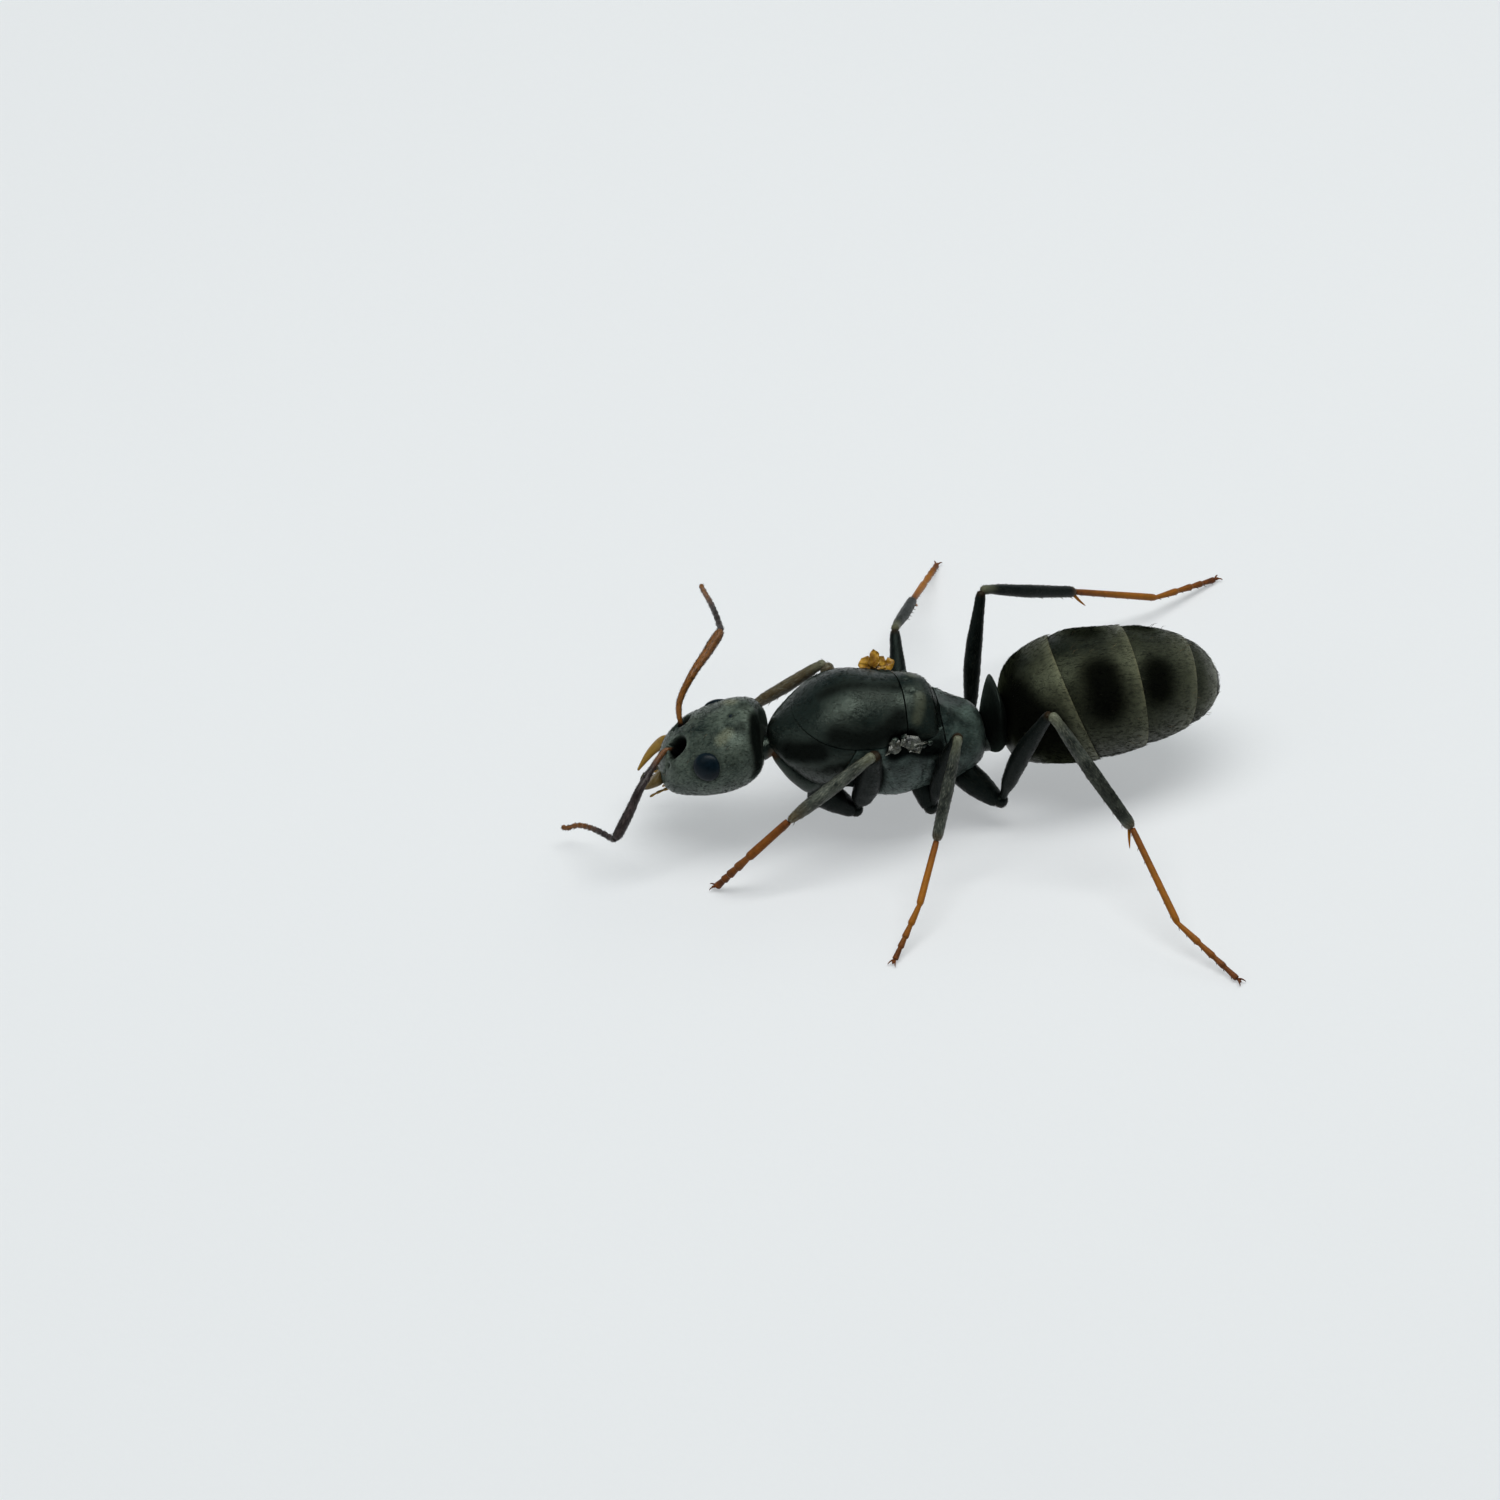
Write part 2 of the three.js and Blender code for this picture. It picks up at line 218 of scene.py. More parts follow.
def loft(name, rings, sides):
    """A closed skin over rings: (middle, axes as columns side, up and along, half width, half height)."""
    deselect()
    piece = None
    for centre, axes, width, height in rings:
        bpy.ops.mesh.primitive_circle_add(
            vertices=sides, radius=width, fill_type="NOTHING", location=centre, rotation=axes.to_euler())
        if piece is None:
            piece = set_down()
            piece.name = name
            bpy.ops.object.mode_set(mode="EDIT")
            bpy.ops.mesh.select_all(action="SELECT")
        bpy.ops.transform.resize(
            value=(1, height / width, 1), orient_type="GLOBAL", orient_matrix=axes,
            orient_matrix_type="GLOBAL", center_override=centre)
    bpy.ops.mesh.select_all(action="SELECT")
    bpy.ops.mesh.bridge_edge_loops()
    bpy.ops.mesh.select_all(action="SELECT")
    bpy.ops.mesh.fill_holes(sides=0)
    bpy.ops.mesh.select_all(action="SELECT")
    bpy.ops.mesh.normals_make_consistent(inside=False)
    done()
    piece.data.name = name
    return piece


def turned(place):
    """A body's axes as loft wants them: side, up and along."""
    turn = place.to_3x3().normalized()
    return Matrix((turn.col[1], turn.col[2], turn.col[0])).transposed()


def body_rings(place, table, count):
    """Rings across a body. Table rows: how far along, middle sideways, half width, top, bottom."""
    axes = turned(place)
    return [(place @ Vector((x, y, (top + bottom) / 2)), axes, width * MM, (top - bottom) / 2 * MM)
            for x, y, width, top, bottom in through(table, count)]


def spots_at(place, *spots):
    """Places on a body, in the world's millimetres."""
    return [place @ Vector(spot) / MM for spot in spots]


def limb(name, path, widths, count, sides, straight=False):
    """A limb through path, in millimetres, over count rings. Widths: (share of the length, radius)."""
    line = [Vector(spot) for spot in through(path, count, straight)]
    shares, radii = zip(*widths)
    side = Vector((0, 0, 1)).cross(line[1] - line[0]).normalized()
    rings = []
    for i, spot in enumerate(line):
        tangent = (line[min(i + 1, count - 1)] - line[max(i - 1, 0)]).normalized()
        side = (side - tangent * side.dot(tangent)).normalized()
        axes = Matrix((side, tangent.cross(side), tangent)).transposed()
        radius = float(np.interp(i / (count - 1), shares, radii)) * MM
        rings.append((spot * MM, axes, radius, radius))
    return loft(name, rings, sides)


def finish(piece, *modifiers):
    """Applies modifiers, each given as a type and its settings."""
    take(piece)
    for kind, settings in modifiers:
        modifier = piece.modifiers.new(kind.lower(), kind)
        for key, value in settings.items():
            setattr(modifier, key, value)
        bpy.ops.object.modifier_apply(modifier=modifier.name)
    return piece


def smoothed(piece, levels):
    return finish(piece, ("SUBSURF", {"levels": levels, "render_levels": levels}))


def cut(piece, place, spot, normal, fill=True):
    """Cuts away what lies past a plane, on its normal's side."""
    edit_all(piece)
    bpy.ops.mesh.bisect(
        plane_co=place @ Vector(spot), plane_no=(place.to_3x3() @ Vector(normal)).normalized(),
        use_fill=fill, clear_outer=True, threshold=1e-8)
    done()


def copied(piece, name):
    take(piece)
    bpy.ops.object.duplicate()
    copy = bpy.context.object
    copy.name = copy.data.name = name
    return copy


def removed(piece):
    take(piece)
    bpy.ops.object.delete()


def joined(name, *pieces):
    take(*pieces)
    bpy.ops.object.join()
    piece = bpy.context.object
    piece.name = piece.data.name = name
    return piece


def gaps(piece, place, path):
    """How far each of a piece's vertices is from a path, in millimetres."""
    line = through(path, 60) if len(path) > 1 else path
    spots = spots_of(piece) / MM
    gap = np.full(len(spots), 1e9)
    for spot in line:
        gap = np.minimum(gap, np.linalg.norm(spots - np.array(place @ Vector(spot)) / MM, axis=1))
    return gap


def apart(piece, spot):
    """How far each of a piece's vertices is from a point, in millimetres."""
    return np.linalg.norm(spots_of(piece) / MM - np.array(spot), axis=1)


def swell(piece, place, path, core, reach, height):
    """Raises the skin along a path by height, or sinks it if negative, fading out over reach."""
    gap = gaps(piece, place, path)
    edit(piece, gap < max(core, gap.min() + 1e-6))
    bpy.ops.transform.shrink_fatten(
        value=height * MM, use_proportional_edit=True, proportional_edit_falloff="SMOOTH",
        proportional_size=reach * MM)
    done()


def puffed(piece, by):
    """Moves a piece's whole skin outwards, in millimetres."""
    edit_all(piece)
    bpy.ops.transform.shrink_fatten(value=by * MM)
    done()


def shaded(piece, angle=40):
    take(piece)
    bpy.ops.object.shade_smooth_by_angle(angle=math.radians(angle))
    return piece

# ---------------------------------------------------------------- how patterns follow a piece


class Line:
    """A centre line with its run in millimetres and a frame at each of its points."""

    def __init__(self, spots, count=64, straight=False):
        self.spots = through(spots, count, straight)
        ahead = np.gradient(self.spots, axis=0)
        self.ahead = ahead / np.linalg.norm(ahead, axis=1)[:, None]
        self.run = np.concatenate([[0], np.cumsum(np.linalg.norm(np.diff(self.spots, axis=0), axis=1))])
        side = np.cross((0, 0, 1), self.ahead[0])
        self.side = np.zeros_like(self.spots)
        for i, tangent in enumerate(self.ahead):
            side = side - tangent * (side @ tangent)
            side /= np.linalg.norm(side)
            self.side[i] = side
        self.above = np.cross(self.ahead, self.side)

    def nearest(self, spots):
        best = np.full(len(spots), 1e9)
        index = np.zeros(len(spots), int)
        for i, spot in enumerate(self.spots):
            gap = ((spots - spot) ** 2).sum(1)
            closer = gap < best
            best[closer], index[closer] = gap[closer], i
        return index

    def coordinates(self, spots):
        """Run, sideways and upward offset of each spot, in millimetres."""
        i = self.nearest(spots)
        off = spots - self.spots[i]
        return np.stack([self.run[i] + (off * self.ahead[i]).sum(1), (off * self.side[i]).sum(1),
                         (off * self.above[i]).sum(1)], 1)


def body_line(place, start, end):
    return Line(spots_at(place, (start, 0, 0), (end, 0, 0)))


def numbers(piece, name):
    """The numbers that a piece's vertices were told, or zeros."""
    values = np.zeros(len(piece.data.vertices))
    if name in piece.data.attributes:
        piece.data.attributes[name].data.foreach_get("value", values)
    return values


def told(piece, name, values):
    """Gives each vertex a number that the finishes read; the higher stays where it has one."""
    values = np.clip(np.maximum(numbers(piece, name), values), 0, 1)
    if name not in piece.data.attributes:
        piece.data.attributes.new(name, "FLOAT", "POINT")
    piece.data.attributes[name].data.foreach_set("value", values.astype(np.float32))


def fade(gap, full, gone):
    """One up to full, nothing past gone, smooth between."""
    share = np.clip((gone - gap) / (gone - full), 0, 1)
    return share * share * (3 - 2 * share)


def around(path, sign):
    """A path given for the left side, moved to the side wanted."""
    return [(x, -sign * y, z) for x, y, z in path]


def worked(piece, place, path, *steps):
    """Works a piece along a path in steps: a swelling's (core, reach, height), or a marking's (name,
    amount, full, gone), which fades out between the last two distances. All in millimetres."""
    for step in steps:
        if len(step) == 3:
            swell(piece, place, path, *step)
        else:
            name, amount, full, gone = step
            told(piece, name, amount * fade(gaps(piece, place, path), full, gone))


def detailed(piece, place, rows, mirrored=True):
    """Works rows of a path and its steps, given for the left side, into both sides or only as given."""
    for sign in (-1, 1) if mirrored else (-1,):
        for path, *steps in rows:
            worked(piece, place, around(path, sign), *steps)


def fitted(piece, material, slot, line, *nodes):
    """Lays the patterns along a line, gives a finished piece its material, parents it to the root and hides
    the CAD nodes it stands for. The slot is not used.
    """
    laid = line.coordinates(spots_of(piece) / MM)
    layer = piece.data.attributes.new("lie", "FLOAT_VECTOR", "POINT")
    layer.data.foreach_set("vector", laid.astype(np.float32).ravel())
    piece.data.materials.clear()
    piece.data.materials.append(material)
    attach(piece, "root")
    if nodes:
        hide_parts(*nodes)
    return piece

# ---------------------------------------------------------------- finishes

# Painted shade: near-black laid wherever the skin was told it lies in shade or mirrors something dark.
PAINTED_SHADE = (0.001, 0.001, 0.001)
# The pale hem of a plate's edge; the same colour is laid elsewhere as painted sheen and painted highlights.
HEM_AND_SHEEN = (0.15, 0.15, 0.095)
DOWNY_HEM_AND_SHEEN = (0.1, 0.1, 0.064)


class Web:
    """A shader's nodes, and the inputs that they end in."""

    def __init__(self, tree, ends):
        self.tree, self.ends = tree, ends

    def put(self, kind, *feeds, **settings):
        """Adds a node. Feeds: (input's name or number, a value or a socket)."""
        made = self.tree.nodes.new(f"ShaderNode{kind}")
        for key, value in settings.items():
            setattr(made, key, value)
        for slot, value in feeds:
            if isinstance(value, bpy.types.NodeSocket):
                self.tree.links.new(value, made.inputs[slot])
            else:
                made.inputs[slot].default_value = value
        return made.outputs

    def into(self, slot, socket):
        self.tree.links.new(socket, self.ends[slot])

    def read(self, name):
        """A value that the piece's vertices were told."""
        return self.put("Attribute", attribute_name=name)["Vector" if name == "lie" else "Fac"]

    def placed(self, group, vector, **values):
        return self.put("Group", ("Vector", vector), *values.items(), node_tree=group)

    def times(self, a, b):
        return self.put("Math", (0, a), (1, b), operation="MULTIPLY")[0]

    def plus(self, a, b):
        return self.put("Math", (0, a), (1, b), operation="ADD")[0]

    def one_over(self, value):
        return self.put("Math", (0, 1.0), (1, value), operation="DIVIDE")[0]

    def vector(self, operation, a, b):
        return self.put("VectorMath", (0, a), (1, b), operation=operation)[0]

    def ranged(self, value, low, high, out_low=0.0, out_high=1.0):
        return self.put("MapRange", (0, value), (1, low), (2, high), (3, out_low), (4, out_high))[0]

    def noise(self, vector, scale, detail, *more):
        return self.put("TexNoise", ("Vector", vector), ("Scale", scale), ("Detail", detail), *more)

    def wandered(self, vector, scale, detail, reach):
        """The vector, pushed about by noise."""
        push = self.vector("MULTIPLY", self.noise(vector, scale, detail)["Color"], reach)
        return self.vector("ADD", vector, push)

    def mixed(self, colour, *layers):
        """A colour with others laid over it. Layers: (how much, colour)."""
        for amount, over in layers:
            under, over = (c if isinstance(c, bpy.types.NodeSocket) else (*c, 1) for c in (colour, over))
            colour = self.put("Mix", (0, amount), (6, under), (7, over), data_type="RGBA")[2]
        return colour

    def bumped(self, height, distance, *more, strength=1.0):
        given = ("Height", height), ("Strength", strength), ("Distance", distance)
        return self.put("Bump", *given, *more)[0]


def effect(name, outputs, **inputs):
    """An empty shader group that takes a vector and these numbers. Returns its web and its inputs."""
    tree = bpy.data.node_groups.new(name, "ShaderNodeTree")
    tree.interface.new_socket("Vector", in_out="INPUT", socket_type="NodeSocketVector")
    for title, value in inputs.items():
        socket = tree.interface.new_socket(title, in_out="INPUT", socket_type="NodeSocketFloat")
        socket.default_value = value
    for title in outputs:
        tree.interface.new_socket(title, in_out="OUTPUT", socket_type="NodeSocketFloat")
    given = tree.nodes.new("NodeGroupInput").outputs
    return Web(tree, tree.nodes.new("NodeGroupOutput").inputs), given


def shell_net():
    """The fine net of raised cells that covers the shell."""
    web, given = effect("shell_net", ("Height", "Line"), Cell=0.02, Stretch=1.0)
    shape = web.put("CombineXYZ", (0, given["Stretch"]), (1, 1.0), (2, 1.0))[0]
    spread = web.vector("MULTIPLY", given["Vector"], shape)
    moved = web.wandered(spread, 9.0, 2.0, (0.03, 0.03, 0.03))
    edge = web.put("TexVoronoi", ("Vector", moved), ("Scale", web.one_over(given["Cell"])),
                   feature="DISTANCE_TO_EDGE")["Distance"]
    web.into("Height", web.ranged(edge, 0.0, 0.22))
    web.into("Line", web.ranged(edge, 0.0, 0.1, 1.0, 0.0))
    return web.tree


def bloom():
    """Cloudy patches where the shell looks dusty or polished."""
    web, given = effect("bloom", ("Mask",), Size=0.3, Low=0.35, High=0.7)
    broad = web.noise(given["Vector"], web.one_over(given["Size"]), 4.0,
                      ("Roughness", 0.62), ("Distortion", 0.4))
    web.into("Mask", web.ranged(broad["Fac"], given["Low"], given["High"]))
    return web.tree


def silk():
    """Short hairs lying back along the piece, as fine broken streaks."""
    web, given = effect("silk", ("Height", "Streak"), Length=0.08, Width=0.012)
    along, across = web.one_over(given["Length"]), web.one_over(given["Width"])
    shape = web.put("CombineXYZ", (0, along), (1, across), (2, across))[0]
    moved = web.wandered(given["Vector"], 4.0, 1.0, (0.0, 0.09, 0.09))
    streaks = web.noise(web.vector("MULTIPLY", moved, shape), 1.0, 2.0, ("Roughness", 0.6))["Fac"]
    web.into("Height", streaks)
    web.into("Streak", web.ranged(streaks, 0.5, 0.72))
    return web.tree


def pores():
    """The small pits that the hairs grow from."""
    web, given = effect("pores", ("Height", "Mask"), Spacing=0.1, Size=0.16)
    reach = web.put("TexVoronoi", ("Vector", given["Vector"]), ("Scale", web.one_over(given["Spacing"])),
                    ("Randomness", 0.85), feature="F1")["Distance"]
    edge = web.times(given["Size"], 0.5)
    web.into("Height", web.ranged(reach, edge, given["Size"]))
    web.into("Mask", web.ranged(reach, edge, given["Size"], 1.0, 0.0))
    return web.tree


NET, BLOOM, SILK, PORES = shell_net(), bloom(), silk(), pores()


def blank(name, **plain):
    """A new material with its shader's plain values set on the shader itself."""
    material = bpy.data.materials.new(name)
    material.use_nodes = True
    slots = material.node_tree.nodes["Principled BSDF"].inputs
    for key, value in plain.items():
        slot = slots[key.replace("_", " ")]
        slot.default_value = (*value, 1) if slot.type == "RGBA" else value
    return material, Web(material.node_tree, slots)


def chitin(name, dark, dusty, warm, streak, *, cloud=0.45, dust=0.7, low=0.4, high=0.68, silky=0.3,
           rough=(0.3, 0.42), cell=0.014, stretch=0.5, relief=1.0, pore=0.0, dents=4.0, **plain):
    """Shell: black under a dusty bloom, warm where it thins, pale at its hems and with painted sheen where
    told, netted, pitted and silky with down, and blacked out with painted shade where told.
    """
    material, web = blank(name, **plain)
    # deep is the painted shade that the vertices were told.
    lie, deep = web.read("lie"), web.read("hollow")
    clouds = web.placed(BLOOM, lie, Size=cloud, Low=low, High=high)["Mask"]
    fine = web.placed(BLOOM, lie, Size=0.07, Low=0.3, High=0.75)["Mask"]
    net = web.placed(NET, lie, Cell=cell, Stretch=stretch)
    hairs = web.placed(SILK, lie, Length=0.09, Width=0.011)
    height = web.plus(net["Height"], web.times(hairs["Height"], 1.6))
    layers = [
        (web.times(clouds, dust), dusty),
        (web.times(fine, 0.35), dark),
        (web.times(web.read("warm"), web.ranged(fine, 0.0, 1.0, 0.75, 1.0)), warm),
        # the pale hem, and painted sheen where that was told
        (web.times(web.read("hem"), 0.8), HEM_AND_SHEEN),
        (web.times(hairs["Streak"], silky), streak),
    ]
    if pore:
        pits = web.placed(PORES, lie, Spacing=0.085, Size=0.17)
        layers.append((web.times(pits["Mask"], 0.7), dark))
        height = web.plus(height, web.times(pits["Height"], pore))
    # Painted shade: black colour, and metallic over black so that nothing is reflected there either, with
    # rougher skin.
    web.into("Base Color", web.mixed(dark, *layers, (deep, PAINTED_SHADE)))
    web.into("Metallic", web.times(deep, 0.9))
    gloss = web.plus(web.ranged(clouds, 0.0, 1.0, *rough), web.times(net["Line"], 0.12))
    web.into("Roughness", web.plus(gloss, web.times(deep, 0.55)))
    broad = web.placed(BLOOM, lie, Size=0.16, Low=0.2, High=0.8)["Mask"]
    uneven = web.bumped(broad, dents * 1e-6)
    web.into("Normal", web.bumped(height, relief * 1e-6, ("Normal", uneven)))
    return material


BLACK = chitin(
    "black_shell", (0.001, 0.002, 0.0018), (0.01, 0.014, 0.0115), (0.12, 0.04, 0.012), (0.06, 0.075, 0.06),
    silky=0.14, rough=(0.25, 0.38), cell=0.02, stretch=1.0, relief=0.8, pore=0.7, dents=7.0,
    Specular_IOR_Level=0.4, Specular_Tint=(0.82, 1, 0.86))
DUSTY = chitin(
    "dusty_shell", (0.006, 0.011, 0.01), (0.092, 0.128, 0.112), (0.1, 0.05, 0.016), (0.16, 0.19, 0.165),
    dust=0.9, rough=(0.32, 0.44), cell=0.02, stretch=1.0, pore=0.6,
    Specular_IOR_Level=0.35, Specular_Tint=(0.8, 1, 0.92))
MOTTLED = chitin(
    "head_shell", (0.004, 0.008, 0.007), (0.11, 0.132, 0.106), (0.12, 0.05, 0.014), (0.22, 0.24, 0.19),
    cloud=0.4, dust=0.85, low=0.34, high=0.62, rough=(0.23, 0.35), cell=0.02, stretch=1.0, pore=1.0,
    dents=7.0, Specular_IOR_Level=0.36, Specular_Tint=(0.8, 1, 0.88))
SILKY = chitin(
    "gaster_shell", (0.001, 0.0015, 0.001), (0.024, 0.025, 0.014), (0.2, 0.16, 0.08), (0.09, 0.088, 0.05),
    cloud=0.6, silky=0.25, rough=(0.3, 0.4), stretch=2.6, relief=0.8,
    Specular_IOR_Level=0.3, Specular_Tint=(0.9, 1, 0.66))
SOOTY = chitin(
    "leg_shell", (0.008, 0.0095, 0.0085), (0.115, 0.124, 0.103), (0.11, 0.068, 0.024), (0.32, 0.32, 0.25),
    cloud=0.22, silky=0.5, cell=0.016, Specular_IOR_Level=0.35, Specular_Tint=(0.92, 1, 0.88))
INKY = chitin(
    "thigh_shell", (0.001, 0.0018, 0.0018), (0.007, 0.009, 0.0085), (0.12, 0.05, 0.012), (0.05, 0.06, 0.05),
    cloud=0.22, silky=0.14, rough=(0.28, 0.4), cell=0.016, relief=0.8,
    Specular_IOR_Level=0.09, Specular_Tint=(0.75, 1, 0.9))
RUSTY = chitin(
    "tarsus_shell", (0.07, 0.02, 0.01), (0.23, 0.062, 0.014), (0.42, 0.15, 0.008), (0.32, 0.15, 0.04),
    cloud=0.12, dust=0.8, silky=0.12, rough=(0.34, 0.46),
    Specular_IOR_Level=0.2, Specular_Tint=(1, 0.62, 0.4))
UMBER = chitin(
    "feeler_shell", (0.02, 0.012, 0.013), (0.085, 0.057, 0.057), (0.3, 0.1, 0.006), (0.2, 0.16, 0.14),
    cloud=0.16, Specular_IOR_Level=0.3)
HORN = chitin(
    "jaw_shell", (0.028, 0.024, 0.012), (0.1, 0.085, 0.042), (0.42, 0.22, 0.018), (0.2, 0.17, 0.09),
    cloud=0.14, silky=0.15, rough=(0.26, 0.38), relief=0.8, Specular_IOR_Level=0.4)


def lens_black():
    """The eye's facets: blue-black and glossy, with a little bloom."""
    material, web = blank("facets", Specular_IOR_Level=0.12)
    clouds = web.placed(BLOOM, web.read("lie"), Size=0.12, Low=0.3, High=0.75)["Mask"]
    web.into("Base Color", web.mixed((0.001, 0.004, 0.007), (clouds, (0.004, 0.011, 0.018))))
    web.into("Roughness", web.ranged(clouds, 0.0, 1.0, 0.3, 0.42))
    return material


def torn(name, deep, pale, vein, rough):
    """Dry wing membrane, veined and crumpled."""
    material, web = blank(name, Specular_IOR_Level=0.5, Subsurface_Weight=0.1, Subsurface_Scale=0.00005,
                          Subsurface_Radius=(1, 0.85, 0.6))
    lie = web.read("lie")
    clouds = web.placed(BLOOM, lie, Size=0.13, Low=0.3, High=0.7)["Mask"]
    folds = web.placed(SILK, lie, Length=0.15, Width=0.02)
    cells = web.placed(NET, lie, Cell=0.2, Stretch=0.5)
    web.into("Base Color", web.mixed(deep, (clouds, pale), (web.times(cells["Line"], 0.6), vein)))
    web.into("Roughness", web.ranged(clouds, 0.0, 1.0, rough, rough + 0.15))
    web.into("Normal", web.bumped(web.plus(web.times(folds["Height"], 2.0), cells["Height"]), 3e-6))
    return material


def fleece(name, deep, pale, rough, shine=0.5):
    """Hair: paler and darker from strand to strand, and carrying the pale hem, painted sheen and painted
    shade of the skin under it.
    """
    material, web = blank(name, Specular_IOR_Level=shine)
    strand = web.noise(web.read("lie"), 14.0, 2.0)["Fac"]
    # dark is the painted shade, and the hem read below the pale hem and painted sheen, carried from the skin
    # under the hair.
    dark = web.read("hollow")
    layers = [(web.ranged(strand, 0.35, 0.65), pale), (web.times(web.read("hem"), 0.6), DOWNY_HEM_AND_SHEEN)]
    web.into("Base Color", web.mixed(deep, *layers, (dark, PAINTED_SHADE)))
    web.into("Metallic", web.times(dark, 0.9))
    web.into("Roughness", web.ranged(strand, 0.3, 0.7, rough, rough + 0.12))
    return material


def studio_floor():
    """Pale matt board."""
    material, web = blank("floor", Specular_IOR_Level=0.2, Emission_Color=(0.94, 0.96, 0.975),
                          Emission_Strength=0.41)
    spot = web.put("TexCoord")["Object"]
    broad = web.noise(spot, 90.0, 3.0)["Fac"]
    grain = web.noise(spot, 9000.0, 2.0)["Fac"]
    web.into("Base Color", web.mixed((0.415, 0.415, 0.435), (broad, (0.432, 0.432, 0.45))))
    web.into("Roughness", web.ranged(grain, 0.3, 0.7, 0.6, 0.72))
    web.into("Normal", web.bumped(grain, 2e-5, strength=0.15))
    return material


JET = lens_black()
AMBER = torn("wing_root", (0.16, 0.055, 0.003), (0.66, 0.36, 0.035), (0.06, 0.02, 0.003), 0.3)
PARCHMENT = torn("wing_scrap", (0.01, 0.012, 0.01), (0.17, 0.17, 0.145), (0.03, 0.025, 0.02), 0.2)
DOWN = fleece("down", (0.003, 0.004, 0.003), (0.03, 0.03, 0.019), 0.4, 0.14)
STRAW = fleece("bristles", (0.05, 0.035, 0.014), (0.17, 0.125, 0.06), 0.35)
PEAT = fleece("spines", (0.03, 0.014, 0.008), (0.12, 0.05, 0.02), 0.35)
FLOOR = studio_floor()

# ---------------------------------------------------------------- hairs

CARRIED_SHADE_AND_HEM = ("hollow", "hem")  # the painted shade, pale hem and painted sheen that the down carries on from the skin it grows on
HAIR_FACES = np.array([  # over a ring of three at the root, a ring half way and the tip
    (0, 2, 1), (0, 1, 4), (0, 4, 3), (1, 2, 5), (1, 5, 4), (2, 0, 3), (2, 3, 5),
    (3, 4, 6), (4, 5, 6), (5, 3, 6)])
HAIR_PATCH = np.array([(0, 0), (0.001, 0), (0.0005, 0.0008), (0, 0.0015), (0.001, 0.0015), (0.0005, 0.0022),
                       (0.0005, 0.003)])  # a hair's corners on the unwrap
CORNERS = len(HAIR_PATCH)
OUTWARD = 0.35  # faces turned away from the centre line by less than this carry no hair


def strands(name, roots, middles, tips, radius, spread, material, slot, line):
    """Many three-sided tapering hairs. Spread: each root's place on the skin's unwrap."""
    count = len(roots)
    ahead = tips - roots
    ahead /= np.linalg.norm(ahead, axis=1)[:, None]
    side = np.cross(ahead, np.where(np.abs(ahead[:, 2:]) < 0.9, (0.0, 0.0, 1.0), (1.0, 0.0, 0.0)))
    side /= np.linalg.norm(side, axis=1)[:, None]
    above = np.cross(side, ahead)
    radius = np.broadcast_to(radius, count)[:, None]
    corners = []
    for centre, part in ((roots, 1.0), (middles, 0.8)):
        for turn in (0.0, 2 * math.pi / 3, 4 * math.pi / 3):
            corners.append(centre + radius * part * (side * math.cos(turn) + above * math.sin(turn)))
    spots = np.stack([*corners, tips], 1)
    faces = (np.arange(count)[:, None, None] * CORNERS + HAIR_FACES).reshape(-1, 3)
    mesh = bpy.data.meshes.new(name)
    mesh.from_pydata((spots.reshape(-1, 3) * MM).tolist(), [], faces.tolist())
    unwrap = (spread[:, None, :] + HAIR_PATCH).reshape(-1, 2)[faces.ravel()]
    layer = mesh.uv_layers.new(name="OFBake")
    layer.data.foreach_set("uv", unwrap.astype(np.float32).ravel())
    piece = bpy.data.objects.new(name, mesh)
    bpy.context.scene.collection.objects.link(piece)
    take(piece)
    bpy.ops.object.shade_smooth()
    return fitted(piece, material, slot, line)


def skin_of(pieces, line):
    """The outward faces of finished pieces: corners in millimetres, normals, areas, and the painted shade,
    pale hem and painted sheen that they carry.
    """
    found, shade_and_hem = [], []
    for piece in pieces:
        corners = corners_of(piece.data)
        found.append(spots_of(piece)[corners].reshape(-1, 3, 3) / MM)
        values = [numbers(piece, name)[corners].reshape(-1, 3).mean(1) for name in CARRIED_SHADE_AND_HEM]
        shade_and_hem.append(np.stack(values, 1))
    faces = np.concatenate(found)
    normal = np.cross(faces[:, 1] - faces[:, 0], faces[:, 2] - faces[:, 0])
    area = np.linalg.norm(normal, axis=1)
    normal = normal / np.maximum(area, 1e-12)[:, None]
    centre = faces.mean(1)
    out = centre - line.spots[line.nearest(centre)]
    out /= np.maximum(np.linalg.norm(out, axis=1), 1e-9)[:, None]
    outward = (normal * out).sum(1) > OUTWARD
    return faces[outward], normal[outward], area[outward], np.concatenate(shade_and_hem)[outward]


def rooted(pieces, line, count):
    """Random places on the skin: roots, normals, backward directions, places on its unwrap, and the painted
    shade, pale hem and painted sheen there.
    """
    faces, normals, areas, shade_and_hem = skin_of(pieces, line)
    pick = CHANCE.choice(len(faces), count, p=areas / areas.sum())
    a, b = CHANCE.random((2, count, 1))
    over = a + b > 1
    a, b = np.where(over, 1 - a, a), np.where(over, 1 - b, b)
    roots = faces[pick, 0] + a * (faces[pick, 1] - faces[pick, 0]) + b * (faces[pick, 2] - faces[pick, 0])
    normal = normals[pick]
    ahead = line.ahead[line.nearest(roots)]
    back = ahead - normal * (ahead * normal).sum(1)[:, None]
    back /= np.maximum(np.linalg.norm(back, axis=1), 1e-9)[:, None]
    laid = line.coordinates(roots)
    share = (laid[:, 0] - laid[:, 0].min()) / np.ptp(laid[:, 0])
    turn = np.arctan2(laid[:, 2], laid[:, 1]) / (2 * math.pi) + 0.5
    return roots, normal, back, np.stack([0.005 + 0.985 * share, 0.005 + 0.985 * turn], 1), shade_and_hem[pick]


